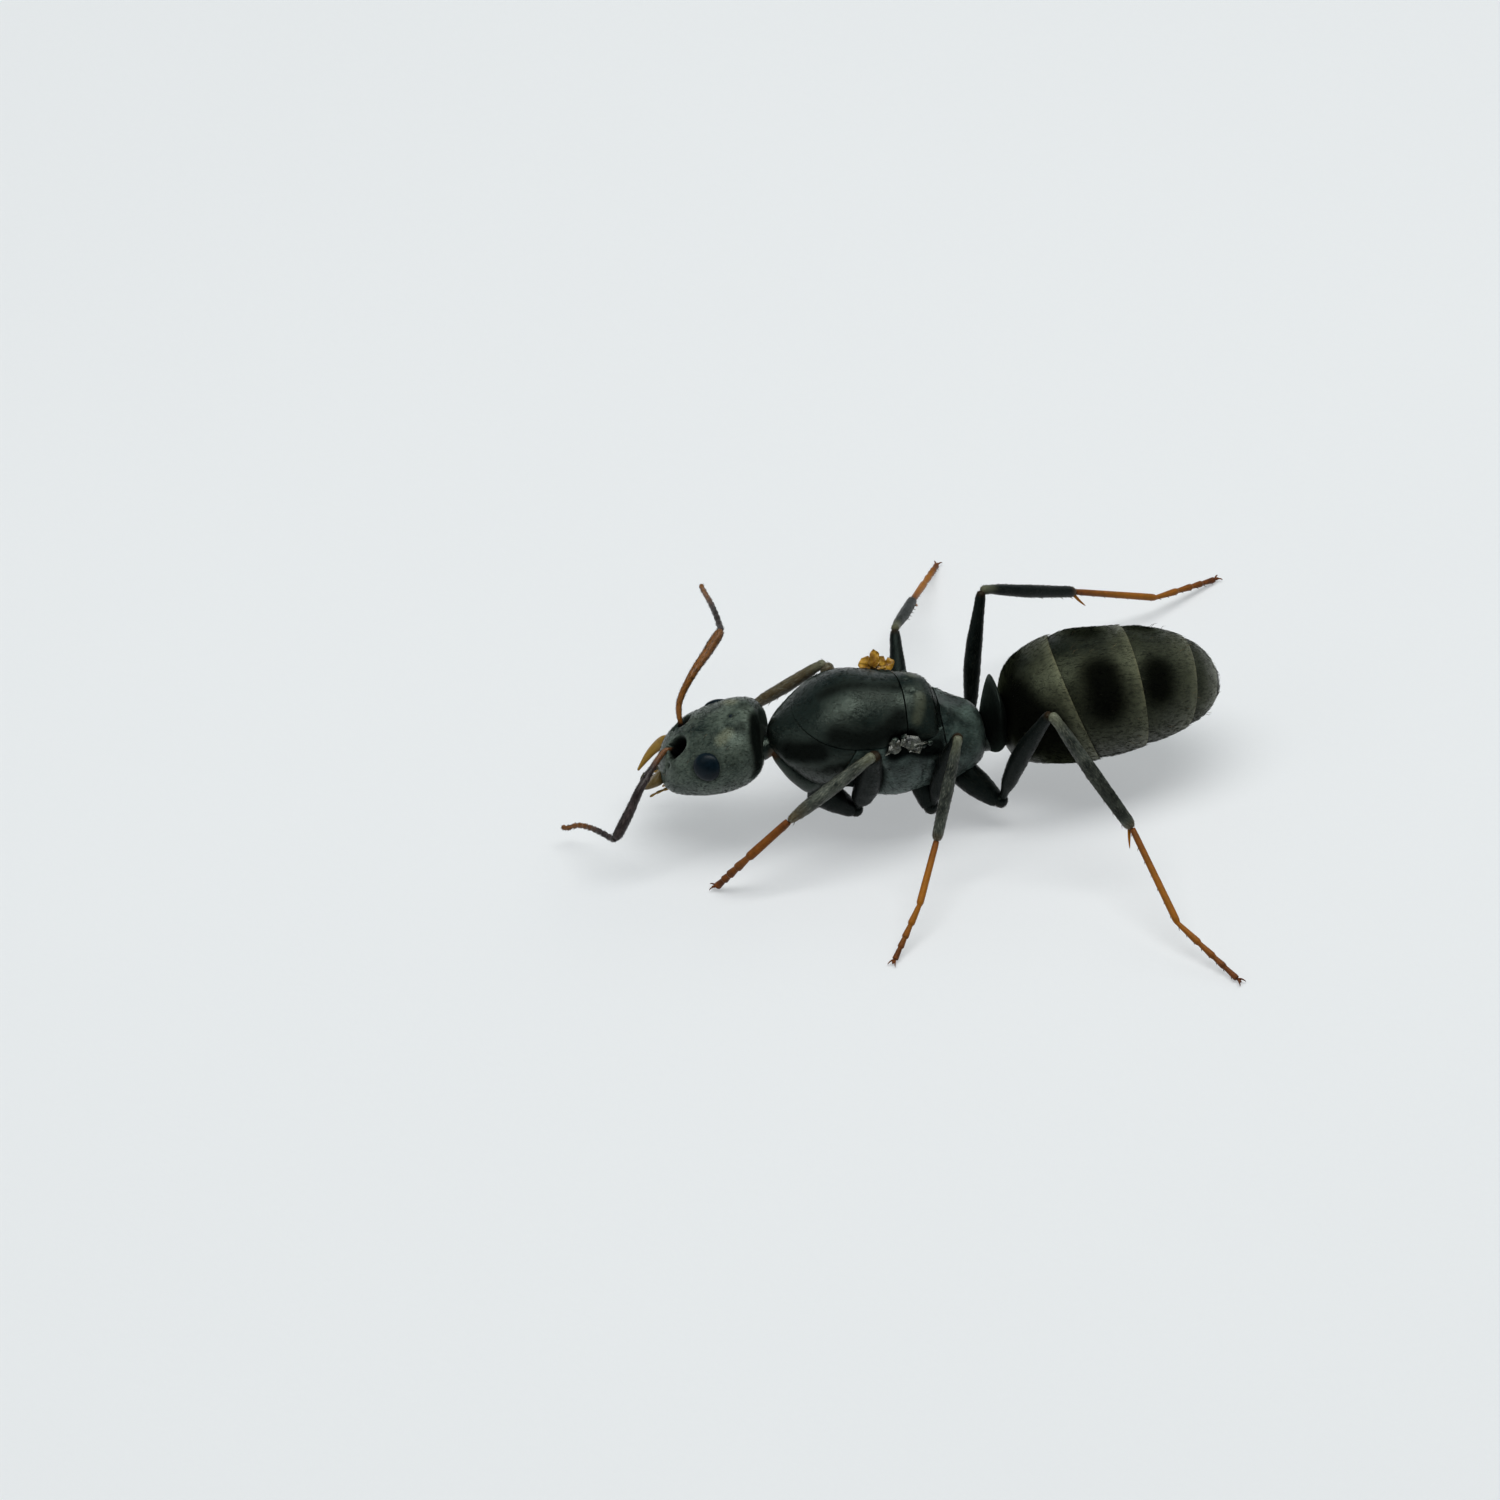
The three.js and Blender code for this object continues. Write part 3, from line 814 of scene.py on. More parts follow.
def coat(name, pieces, line, count, length, radius, slot, rise=(0.06, 0.24), stray=0.3, material=None):
    """Short hairs that lie back along a piece, each rising a little (in radians) from the skin."""
    roots, normal, back, spread, shade_and_hem = rooted(pieces, line, count)
    turn = CHANCE.normal(0, stray, (count, 1))
    lean = CHANCE.uniform(*rise, (count, 1))
    size = length * CHANCE.uniform(0.7, 1.2, (count, 1))
    way = back * np.cos(turn) + np.cross(normal, back) * np.sin(turn)
    middles = roots + (way * np.cos(lean) + normal * np.sin(lean)) * size * 0.5
    tips = middles + (way * np.cos(lean * 0.3) + normal * np.sin(lean * 0.3)) * size * 0.5
    roots = roots - normal * radius
    piece = strands(name, roots, middles, tips, radius, spread, material or DOWN, slot, line)
    for title, values in zip(CARRIED_SHADE_AND_HEM, shade_and_hem.T):
        told(piece, title, np.repeat(values, CORNERS))

# ---------------------------------------------------------------- head

CAPSULE = (  # along, sideways, half width, top, bottom
    (-0.945, 0, 0.16, 0.0, -0.12),
    (-0.925, 0, 0.3, 0.07, -0.17),
    (-0.856, 0, 0.44, 0.17, -0.25),
    (-0.679, 0, 0.607, 0.365, -0.403),
    (-0.4, 0, 0.721, 0.535, -0.521),
    (-0.047, 0, 0.796, 0.597, -0.597),
    (0.298, 0, 0.815, 0.615, -0.606),
    (0.577, 0.01, 0.765, 0.585, -0.54),
    (0.772, 0.03, 0.64, 0.515, -0.4),
    (0.884, 0.04, 0.43, 0.4, -0.23),
    (0.93, 0.04, 0.2, 0.25, -0.06),
)
EYE = (0.13, 0.69, 0.28)
EYE_SIZE = (0.225, 0.11, 0.225)
EYE_TILT = math.radians(30)
EYE_RIM = [(EYE[0] + 0.235 * math.cos(t), -(EYE[1] - 0.11 * math.sin(t)), EYE[2] + 0.19 * math.sin(t))
           for t in np.linspace(0, 2 * math.pi, 25)]
OCELLI = ((0.6, 0, 0.545), (0.775, -0.17, 0.4), (0.775, 0.17, 0.4))
OCELLUS_RADIUS, OCELLUS_SUNK = 0.044, 0.016
SOCKET = (-0.42, 0.235, 0.32)
HEAD_LINE = body_line(HEAD, -0.9, 0.85)

FACE = (  # the eye's rim, the feeler's pit and a dimple, each darkened with painted shade, a ridge, the cheek and its lower rim
    (EYE_RIM, (0.012, 0.05, -0.012), ("hollow", 0.4, 0.02, 0.07)),
    ([(-0.41, -0.26, 0.45), (-0.31, -0.25, 0.47)], ("hollow", 1, 0.14, 0.19), (0.08, 0.13, -0.26)),
    ([(-0.56, -0.43, 0.31)], (0.015, 0.07, -0.035), ("hollow", 0.8, 0.015, 0.06)),
    ([(-0.56, -0.13, 0.42), (-0.34, -0.1, 0.55), (0.0, -0.19, 0.6)], (0.01, 0.05, 0.028)),
    ([(-0.9, -0.42, -0.03)], (0.03, 0.12, -0.04)),
    ([(-0.9, -0.36, -0.16), (-0.74, -0.5, -0.3), (-0.5, -0.52, -0.44)], ("warm", 0.75, 0.03, 0.1)),
)
MIDDLE_OF_FACE = (  # the clypeus, its lip (a groove darkened with painted shade) and its keel, the line up the forehead, and the throat and the nape, darkened with painted shade
    ([(-0.72, 0, 0.3)], (0.12, 0.34, 0.03)),
    ([(-0.82, -0.5, 0.06), (-0.66, -0.43, 0.25), (-0.53, -0.28, 0.4), (-0.5, 0, 0.46), (-0.53, 0.28, 0.4),
      (-0.66, 0.43, 0.25), (-0.82, 0.5, 0.06)], (0.012, 0.05, -0.022), ("hollow", 0.45, 0.01, 0.03)),
    ([(-0.93, 0, 0.02), (-0.7, 0, 0.33), (-0.52, 0, 0.45)], (0.01, 0.05, 0.014)),
    ([(-0.36, 0, 0.53), (0.1, 0, 0.61), (0.46, 0, 0.6)], (0.006, 0.03, -0.008)),
    ([(0.95, 0, -0.1)], (0.2, 0.4, -0.08), ("hollow", 0.75, 0.2, 0.45)),
    ([(0.88, -0.42, -0.16), (0.92, -0.25, 0.1), (0.93, 0.0, 0.2)], ("hollow", 0.95, 0.16, 0.32)),
)
# Painted shade along the lower back of the head, a painted dark reflection near the ocelli, and a painted
# highlight behind the eye.
BACK_OF_HEAD = (
    ([(0.88, -0.3, 0.1), (0.82, -0.45, -0.09), (0.71, -0.53, -0.25)], ("hollow", 0.8, 0.08, 0.2)),
    ([(0.72, -0.22, 0.42)], ("hollow", 0.6, 0.06, 0.18)),
    ([(0.46, -0.42, 0.49), (0.56, -0.33, 0.48)], ("hem", 1, 0.02, 0.16)),
)


def make_head():
    head = smoothed(loft("capsule", body_rings(HEAD, CAPSULE, 30), 48), 2)
    detailed(head, HEAD, FACE)
    detailed(head, HEAD, MIDDLE_OF_FACE, mirrored=False)
    detailed(head, HEAD, BACK_OF_HEAD)
    for spot in OCELLI:
        # each ocellus sits in a dip darkened with painted shade
        worked(head, HEAD, [spot], (0.02, 0.09, -0.02), ("hollow", 0.6, 0.04, 0.075))
    return fitted(shaded(head), MOTTLED, "black_shell", HEAD_LINE, "head")


def make_ocelli():
    lenses = []
    for x, y, z in OCELLI:
        deselect()
        bpy.ops.mesh.primitive_uv_sphere_add(segments=24, ring_count=14, radius=OCELLUS_RADIUS * MM,
                                             location=HEAD @ Vector((x, y, z - OCELLUS_SUNK)))
        lenses.append(set_down())
    fitted(shaded(joined("ocelli", *lenses)), JET, "eye", HEAD_LINE)


def make_eye(side, sign):
    """A faceted eye: a ball of six-sided facets, each a low point, pressed to an oval lens."""
    deselect()
    bpy.ops.mesh.primitive_ico_sphere_add(subdivisions=5, radius=1, location=(0, 0, 0))
    eye = bpy.context.object
    eye.name = eye.data.name = f"faceted_eye_{side}"
    edit_all(eye)
    bpy.ops.mesh.bevel(affect="VERTICES", offset_type="PERCENT", offset_pct=46)
    bpy.ops.mesh.select_all(action="DESELECT")
    bpy.ops.mesh.select_mode(type="FACE")
    bpy.ops.mesh.select_face_by_sides(number=4, type="GREATER")
    bpy.ops.mesh.poke(offset=0.006)
    bpy.ops.mesh.select_mode(type="VERT")
    bpy.ops.mesh.select_all(action="SELECT")
    bpy.ops.transform.resize(value=EYE_SIZE, center_override=(0, 0, 0))
    done()
    sunk = 0.03 if side == "right" else 0
    place = Matrix.Translation((EYE[0], sign * (EYE[1] - sunk), EYE[2] - sunk))
    eye.data.transform(HEAD @ place @ Matrix.Rotation(EYE_TILT * sign, 4, "X"))
    fitted(shaded(eye, 60), JET, "eye", HEAD_LINE, f"eye_{side}")


BLADE = (  # along, sideways (outwards), height, half breadth, half thickness
    (-0.8, 0.44, 0.06, 0.18, 0.09),
    (-0.92, 0.46, 0.05, 0.2, 0.1),
    (-1.04, 0.44, 0.02, 0.23, 0.09),
    (-1.17, 0.38, -0.02, 0.25, 0.075),
    (-1.28, 0.29, -0.06, 0.21, 0.06),
    (-1.38, 0.19, -0.1, 0.12, 0.045),
    (-1.44, 0.11, -0.12, 0.035, 0.02),
)
HINGE = -0.8  # where the blade leaves the head
TEETH = 7
PALP = [(-0.6, -0.2, -0.3), (-0.92, -0.24, -0.29), (-1.12, -0.27, -0.29), (-1.28, -0.27, -0.33)]


def make_mandible(side, sign):
    """The left jaw is drawn in a little; the right is seen edge on, narrower and further out."""
    across = turned(HEAD)
    rings = []
    line = through([row[:3] for row in BLADE], 22)
    for (x, y, z), (breadth, thick, _) in zip(line, through([(*row[3:], 0) for row in BLADE], 22)):
        if side == "left":
            x = HINGE + (x - HINGE) * 0.86
        else:
            breadth *= 0.5
            y += 0.08
        lean = math.radians(sign * (25 - 45 * (x - HINGE) / 0.6))
        spot = HEAD @ Vector((x, sign * (y - breadth * 0.6), z))
        rings.append((spot, across @ Matrix.Rotation(lean, 3, "Y"), breadth * MM, thick * MM))
    parts = []
    for n in range(TEETH):
        share = n / (TEETH - 1)
        root = Vector((-1.3 + 0.26 * share, 0.08 + 0.02 * math.sin(3 * share), -0.14 + 0.05 * share))
        tip = root + Vector((-0.05 - 0.05 * (1 - share), -0.08, -0.02)) * ((0.1 - 0.05 * share) / 0.1)
        path = spots_at(HEAD, *[(p.x, sign * p.y, p.z) for p in (root, (root + tip) / 2, tip)])
        parts.append(limb("tooth", path, [(0, 0.04), (0.6, 0.025), (1, 0.004)], 6, 10))
    blade = smoothed(loft("blade", rings, 20), 1)
    told(blade, "warm", 0.25 if side == "left" else 0.7)
    edge = [(-0.86, sign * 0.2, -0.06), (-1.1, sign * 0.08, -0.12), (-1.36, sign * 0.02, -0.16)]
    worked(blade, HEAD, edge, ("warm", 0.5, 0.06, 0.2))
    blade = joined(f"toothed_mandible_{side}", *parts, blade)
    fitted(shaded(blade), HORN, "feeler_shell", HEAD_LINE, f"mandible_{side}")


def beaded(path, joints, first, last, waist=0.6, tip=0.006):
    """A chain of joints, each narrow at its foot and widest near its end."""
    widths = []
    for joint in range(joints):
        start, end = joint / joints, (joint + 1) / joints
        radius = first + (last - first) * joint / max(joints - 1, 1)
        for share, part in ((0.0, waist), (0.1, waist + 0.15), (0.5, 0.95), (0.84, 1.0), (0.95, 0.85),
                            (0.999, waist)):
            widths.append((start + (end - start) * share, radius * part))
    widths[-2:] = [(0.985, last * 0.5), (1, tip)]
    return limb("chain", path, widths, joints * 8 + 1, 14)


def make_palps():
    parts = []
    for _, sign in SIDES:
        for inward, length, joints in ((1.0, 1.0, 5), (0.45, 0.7, 3)):
            path = [(PALP[0][0] + (x - PALP[0][0]) * length, -sign * y * inward, z) for x, y, z in PALP]
            parts.append(beaded(spots_at(HEAD, *path), joints, 0.032, 0.022))
    palps = smoothed(joined("palps", *parts), 1)
    told(palps, "warm", 0.85)
    fitted(shaded(palps), HORN, "feeler_shell", HEAD_LINE)


head = make_head()
make_ocelli()
for side, sign in SIDES:
    make_eye(side, sign)
    make_mandible(side, sign)
make_palps()

# ---------------------------------------------------------------- thorax

TRUNK = (  # along, sideways, half width, top, bottom
    (-1.85, 0, 0.12, 0.24, 0.04),
    (-1.77, 0, 0.28, 0.31, -0.07),
    (-1.64, 0, 0.46, 0.43, -0.22),
    (-1.5, 0, 0.6, 0.56, -0.36),
    (-1.326, 0, 0.74, 0.73, -0.5),
    (-1.105, 0, 0.86, 0.93, -0.63),
    (-0.748, 0, 0.95, 1.1, -0.765),
    (-0.306, 0, 0.98, 1.075, -0.877),
    (0.102, 0, 0.95, 1.02, -0.931),
    (0.493, 0, 0.88, 0.98, -0.92),
    (0.799, 0, 0.8, 0.8, -0.877),
    (1.02, 0, 0.75, 0.62, -0.835),
    (1.258, 0, 0.67, 0.5, -0.749),
    (1.496, 0, 0.56, 0.42, -0.6),
    (1.64, 0, 0.4, 0.25, -0.45),
    (1.71, 0, 0.18, 0.02, -0.25),
)
SEAM = 0.012  # half the groove between two plates
WAIST = 0.56  # height of the seam between the back and the flanks
SHIELD_FRONT, COLLAR_REAR, BAND_FRONT, BAND_REAR = 0.16, -0.86, 0.83, 0.92
THORAX_LINE = body_line(THORAX, -1.6, 1.6)


def leaning(degrees):
    """A plane's normal that points backwards, leaning up by so many degrees."""
    return math.cos(math.radians(degrees)), 0, math.sin(math.radians(degrees))


FRONT_SEAM, BACK_SEAM = leaning(-24), leaning(12)


def keep_before(normal, offset):
    """A cut for plate: what lies past the plane goes."""
    return tuple(offset * n for n in normal), normal


def keep_past(normal, offset):
    return tuple(offset * n for n in normal), tuple(-n for n in normal)


def groove(reach, depth, dark=0.5):
    """Steps for worked: a groove both pressed in and darkened with painted shade."""
    return (0.008, reach, -depth), ("hollow", dark, 0.012, 0.04)


RIDGE_OF_BACK = (  # the shield's swelling and the dip behind it
    ([(0.46, -0.12, 0.98), (0.46, 0.12, 0.98)], (0.03, 0.5, 0.07)),
    ([(0.84, -0.66, 0.42), (0.79, -0.4, 0.66), (0.77, 0, 0.76), (0.79, 0.4, 0.66), (0.84, 0.66, 0.42)],
     (0.03, 0.2, -0.05)),
)
FLANK = (
    # the painted shade under the wing, the scar there, sunk and blacked with painted shade, the belly's
    # swelling and the notch before it, darkened with painted shade
    ([(-0.05, -0.9, 0.5), (0.2, -0.86, 0.55), (0.5, -0.85, 0.45), (0.75, -0.78, 0.4)],
     ("hollow", 0.9, 0.12, 0.24)),
    ([(0.0, -0.84, 0.62), (0.2, -0.82, 0.66)], (0.06, 0.24, -0.13), ("hollow", 1, 0.14, 0.26)),
    ([(0.12, -0.86, -0.1), (0.2, -0.8, -0.4)], (0.05, 0.42, 0.035)),
    ([(-0.44, -0.95, 0.0), (-0.42, -0.86, -0.4), (-0.4, -0.6, -0.75)], (0.06, 0.36, -0.3),
     ("hollow", 0.7, 0.25, 0.36)),
    # the seams of the flank, darkened with painted shade
    ([(-0.72, -0.92, 0.26), (-0.3, -0.98, 0.2), (0.1, -0.96, 0.24), (0.42, -0.9, 0.22)],
     *groove(0.06, 0.035)),
    ([(0.5, -0.88, 0.45), (0.52, -0.88, 0.1), (0.48, -0.8, -0.4), (0.42, -0.6, -0.7)], *groove(0.06, 0.04)),
    ([(0.5, -0.86, 0.42), (0.64, -0.8, 0.3), (0.78, -0.76, 0.34), (0.86, -0.74, 0.5)],
     *groove(0.05, 0.035, 0.8)),
    ([(0.78, -0.76, 0.34), (0.82, -0.72, 0.0), (0.86, -0.62, -0.4)], *groove(0.05, 0.02)),
    # bosses, the spiracle, darkened with painted shade, and the dent behind the collar
    ([(0.58, -0.84, 0.46)], (0.02, 0.12, 0.035)),
    ([(0.7, -0.8, 0.42)], (0.02, 0.1, 0.035)),
    ([(0.62, -0.84, 0.22)], (0.02, 0.1, 0.035)),
    ([(1.12, -0.6, 0.26), (1.15, -0.61, 0.16)], (0.01, 0.05, -0.02), ("hollow", 0.8, 0.012, 0.03)),
    ([(-0.98, -0.9, 0.15), (-0.86, -0.9, -0.2)], (0.04, 0.2, -0.02)),
)
CROWN = (  # the groove down the dome's middle, darkened with painted shade, and a painted dark reflection along it
    ([(-1.25, 0, 0.93), (-0.9, 0, 1.17), (-0.37, 0, 1.19), (0.08, 0, 1.11)], *groove(0.07, 0.03, 0.6)),
    ([(-1.15, 0, 1.0), (-0.8, 0, 1.17), (-0.37, 0, 1.2), (0.1, 0, 1.12)], ("hollow", 0.75, 0.04, 0.2)),
)
# A faint groove darkened with painted shade, a low swelling, and painted shade along the dome's lower side.
DOME_SIDE = (
    ([(-0.42, -0.46, 1.12), (-0.1, -0.45, 1.1), (0.1, -0.42, 1.05)], *groove(0.03, 0.008, 0.3)),
    ([(-0.55, -0.34, 1.15)], (0.1, 0.5, 0.018)),
    ([(-1.0, -0.67, 0.7), (-0.5, -0.79, 0.7), (-0.2, -0.72, 0.78), (0.05, -0.53, 0.86)],
     ("hollow", 0.75, 0.06, 0.26)),
)
SHIELD_GROOVE = (([(0.36, -0.72, 0.72), (0.4, -0.52, 0.92), (0.36, -0.3, 1.04), (0.27, 0, 1.09),
                   (0.36, 0.3, 1.04), (0.4, 0.52, 0.92), (0.36, 0.72, 0.72)], *groove(0.07, 0.04)),)
# A paler patch at each corner of the shield.
SHIELD_CORNER = (([(0.42, -0.25, 1.03), (0.4, -0.42, 0.97), (0.33, -0.58, 0.86)],
                  ("hem", 0.35, 0.05, 0.14)),)
# Painted shade on the collar's side and along its lower front.
COLLAR_SIDE = (
    ([(-1.62, -0.45, 0.2), (-1.45, -0.59, 0.3), (-1.25, -0.71, 0.42)], ("hollow", 0.8, 0.08, 0.26)),
    ([(-1.5, -0.455, -0.2), (-1.2, -0.52, -0.42), (-0.95, -0.51, -0.55)], ("hollow", 0.85, 0.04, 0.16)),
)


def plate(trunk, name, *cuts, raise_by=0.0, rim=0.02):
    """A plate of the trunk: a copy cut at its seams, with rounded rims."""
    piece = copied(trunk, name)
    if raise_by:
        puffed(piece, raise_by)
    for spot, normal in cuts:
        cut(piece, THORAX, spot, normal)
    return finish(piece, ("BEVEL", {"width": rim * MM, "segments": 3, "limit_method": "ANGLE",
                                    "angle_limit": math.radians(38)}))


def make_thorax():
    """The dome, shield and band of the back, the collar, the flanks and the rear plate."""
    trunk = smoothed(loft("trunk", body_rings(THORAX, TRUNK, 34), 48), 2)
    detailed(trunk, THORAX, RIDGE_OF_BACK, mirrored=False)
    detailed(trunk, THORAX, FLANK)
    above = ((0, 0, WAIST + SEAM), (0, 0, -1))
    below = ((0, 0, WAIST - SEAM), (0, 0, 1))
    before_shield = (SHIELD_FRONT - SEAM, 0, 0), (1, 0, 0)
    dome = plate(trunk, "back_dome", above, before_shield, raise_by=0.015, rim=0.035)
    detailed(dome, THORAX, CROWN, mirrored=False)
    detailed(dome, THORAX, DOME_SIDE)
    shield = plate(trunk, "back_shield", above, ((SHIELD_FRONT + SEAM, 0, 0), (-1, 0, 0)),
                   keep_before(BACK_SEAM, BAND_FRONT), raise_by=0.012, rim=0.03)
    detailed(shield, THORAX, SHIELD_GROOVE, mirrored=False)
    detailed(shield, THORAX, SHIELD_CORNER)
    band = plate(trunk, "back_band", above, keep_past(BACK_SEAM, BAND_FRONT + 2 * SEAM),
                 keep_before(BACK_SEAM, BAND_REAR - SEAM), raise_by=-0.01)
    collar = plate(trunk, "collar_plate", below, keep_before(FRONT_SEAM, COLLAR_REAR - SEAM))
    detailed(collar, THORAX, COLLAR_SIDE)
    rear = plate(trunk, "rear_plate", keep_past(BACK_SEAM, BAND_REAR + SEAM))
    rows = [(dome, BLACK, "scutum"), (shield, BLACK, "scutellum"), (band, BLACK, "scutellum"),
            (collar, BLACK, "pronotum"), (rear, DUSTY, "propodeum")]
    for side, sign in SIDES:
        flank = plate(trunk, f"side_plate_{side}", below, keep_past(FRONT_SEAM, COLLAR_REAR + SEAM),
                      keep_before(BACK_SEAM, BAND_REAR - SEAM), ((0, sign * 0.006, 0), (0, -sign, 0)))
        rows.append((flank, DUSTY, f"mesopleuron_{side}"))
    removed(trunk)
    return [fitted(shaded(piece), material, "black_shell", THORAX_LINE, node)
            for piece, material, node in rows]


THROAT = [(-1.78, -0.1, -0.06), (-1.55, -0.24, -0.22), (-1.25, -0.38, -0.42), (-0.98, -0.46, -0.58)]


def make_neck():
    ends = spots_at(HEAD, (0.7, 0, -0.26)) + spots_at(THORAX, (-1.5, 0, 0.02))
    folds = [(0, 0.2), (0.3, 0.17), (0.42, 0.185), (0.5, 0.165), (0.6, 0.18), (0.7, 0.17), (1, 0.26)]
    neck = smoothed(limb("neck_skin", ends, folds, 26, 28), 1)
    worked(neck, THORAX, [(-1.75, -0.16, -0.12)], ("warm", 0.6, 0.05, 0.16))
    fitted(shaded(neck), BLACK, "black_shell", THORAX_LINE, "neck")
    for side, sign in SIDES:
        path = around(THROAT, sign)
        widths = [(0, 0.05), (0.15, 0.12), (0.5, 0.2), (0.85, 0.22), (1, 0.1)]
        throat = smoothed(limb(f"throat_plate_{side}", spots_at(THORAX, *path), widths, 18, 20), 1)
        worked(throat, THORAX, path[:1], ("warm", 0.6, 0.08, 0.25))
        fitted(shaded(throat), BLACK, "black_shell", THORAX_LINE)


thorax = make_thorax()
make_neck()

# ---------------------------------------------------------------- wing roots

SCRAPS = {  # along, outwards, height, turn in degrees, length, breadth
    "left": ((-0.1, 0.88, 0.56, 218, 0.34, 0.2), (0.22, 0.88, 0.66, -4, 0.46, 0.2),
             (0.2, 0.885, 0.57, 168, 0.4, 0.16), (0.06, 0.87, 0.7, 70, 0.24, 0.1)),
    "right": ((-0.12, 0.9, 0.68, 62, 0.3, 0.2), (0.02, 0.93, 0.76, 85, 0.34, 0.16),
              (0.14, 0.92, 0.68, 110, 0.26, 0.18), (0.27, 0.9, 0.64, 70, 0.26, 0.16),
              (0.08, 0.88, 0.62, 20, 0.36, 0.2)),
}
RAGS = ((35, 0.7), (140, 0.62), (215, 0.75), (-50, 0.66))  # torn corners: degrees round, what is left
KNOBS = (  # along, outwards, height, radius
    (-0.05, 0.76, 0.58, 0.08), (0.1, 0.74, 0.63, 0.06), (0.24, 0.77, 0.57, 0.07),
    (0.42, 0.79, 0.52, 0.06), (0.52, 0.8, 0.55, 0.045), (0.02, 0.8, 0.48, 0.05),
)
SCRAP_FINISH = {"left": (0.004, PARCHMENT), "right": (0.012, AMBER)}  # thickness, material


def scrap(spot, side, turn, length, breadth, seed):
    """A torn bit of wing: a crumpled sheet with ragged ends. On the left it tapers to a stiff point."""
    deselect()
    bpy.ops.mesh.primitive_grid_add(x_subdivisions=8, y_subdivisions=5, size=2, location=(0, 0, 0))
    piece = bpy.context.object
    edit_all(piece)
    bpy.ops.transform.resize(value=(length / 2, breadth / 2, 1), center_override=(0, 0, 0))
    bpy.ops.transform.vertex_random(offset=0.028, normal=0.6, seed=seed)
    done()
    for way, share in RAGS:
        way = math.radians(way + 9 * seed)
        out = Vector((math.cos(way), math.sin(way), 0))
        reach = share * math.hypot(length / 2 * math.cos(way), breadth / 2 * math.sin(way)) * 1.25
        cut(piece, Matrix.Identity(4), (reach * math.cos(way), reach * math.sin(way), 0), out, False)
    if side == "right":
        smoothed(piece, 1)
    else:
        edit(piece, spots_of(piece)[:, 0] > length * 0.12)
        bpy.ops.transform.resize(value=(1.15, 0.3, 1), center_override=(length * 0.12, 0, 0))
        done()
    finish(piece, ("SOLIDIFY", {"thickness": SCRAP_FINISH[side][0], "offset": 0, "use_rim": True}))
    rise = Vector((0, 0.69, 0.72))
    turn = math.radians(turn)
    along = Vector((math.cos(turn), 0, 0)) + rise * math.sin(turn)
    across = Vector((-math.sin(turn), 0, 0)) + rise * math.cos(turn)
    axes = Matrix((along, across, along.cross(across))).transposed().to_4x4()
    piece.data.transform(THORAX @ Matrix.Translation(spot) @ axes)
    return piece


def make_wing_root(side, sign):
    parts = [scrap(Vector((x, sign * out, height)), side, turn, length, breadth, n + 1)
             for n, (x, out, height, turn, length, breadth) in enumerate(SCRAPS[side])]
    piece = shaded(joined(f"wing_root_{side}", *parts), 22)
    fitted(piece, SCRAP_FINISH[side][1], "wing_stub", THORAX_LINE, f"wing_stub_{side}")
    knobs = []
    for x, out, height, size in KNOBS:
        deselect()
        bpy.ops.mesh.primitive_ico_sphere_add(
            subdivisions=3, radius=size * MM, location=THORAX @ Vector((x, sign * out, height)))
        edit_all(bpy.context.object)
        bpy.ops.transform.vertex_random(offset=0.012 * MM, seed=int(100 * size + 50 * x + 60))
        done()
        knobs.append(set_down())
    hinge = smoothed(joined(f"wing_hinge_{side}", *knobs), 1)
    fitted(shaded(hinge), BLACK, "black_shell", THORAX_LINE)


for side, sign in SIDES:
    make_wing_root(side, sign)

# ---------------------------------------------------------------- petiole and gaster

SCALE = (  # height over the node's middle, half width, half thickness
    (-0.635, 0.2, 0.13),
    (-0.6, 0.28, 0.18),
    (-0.4, 0.36, 0.22),
    (-0.1, 0.42, 0.21),
    (0.2, 0.45, 0.15),
    (0.42, 0.42, 0.085),
    (0.56, 0.33, 0.045),
    (0.62, 0.19, 0.024),
    (0.635, 0.07, 0.012),
)
BARREL = (  # along, sideways, half width, top, bottom
    (-1.775, 0, 0.2, -0.02, -0.5),
    (-1.745, 0, 0.356, 0.144, -0.68),
    (-1.673, 0, 0.616, 0.464, -0.845),
    (-1.495, 0, 0.821, 0.731, -0.927),
    (-1.139, 0, 0.972, 0.927, -0.989),
    (-0.801, 0, 1.048, 1.009, -1.03),
    (-0.445, 0, 1.08, 1.03, -1.03),
    (-0.054, 0, 1.048, 0.989, -0.999),
    (0.356, 0, 0.994, 0.948, -0.937),
    (0.747, 0, 0.907, 0.855, -0.865),
    (1.103, 0, 0.788, 0.711, -0.773),
    (1.388, 0, 0.637, 0.525, -0.649),
    (1.584, 0, 0.454, 0.319, -0.515),
    (1.709, 0, 0.259, 0.103, -0.391),
    (1.755, 0, 0.12, -0.03, -0.29),
)
EDGES = ((20, -0.57), (3, 0.34), (-11, 1.15), (-18, 1.57))  # lean in degrees, place of each rear edge
TUCK = 0.2  # how far each plate runs on under the one before it
TUCK_DEPTH, TUCK_REACH = 0.05, 0.42  # how far its front is pressed in, and over what length that fades
PLATE_THICKNESS, PLATE_RIM = 0.022, 0.008
BELLY = {"sunk": 0.035, "slide": 0.06}  # how far the belly plates lie in, and behind the back plates
PAINTED_REFLECTIONS = {  # painted dark reflections to each side of the first three back plates: path, core, reach
    0: ([(-1.66, -0.25, 0.3), (-1.5, -0.7, 0.2), (-1.05, -0.95, 0.05), (-0.85, -0.95, -0.3)], 0.34, 0.64),
    1: ([(-0.32, -0.52, 0.86), (-0.31, -0.7, 0.74), (-0.31, -0.82, 0.6)], 0.14, 0.54),
    2: ([(0.6, -0.52, 0.74), (0.57, -0.7, 0.57)], 0.1, 0.44),
}
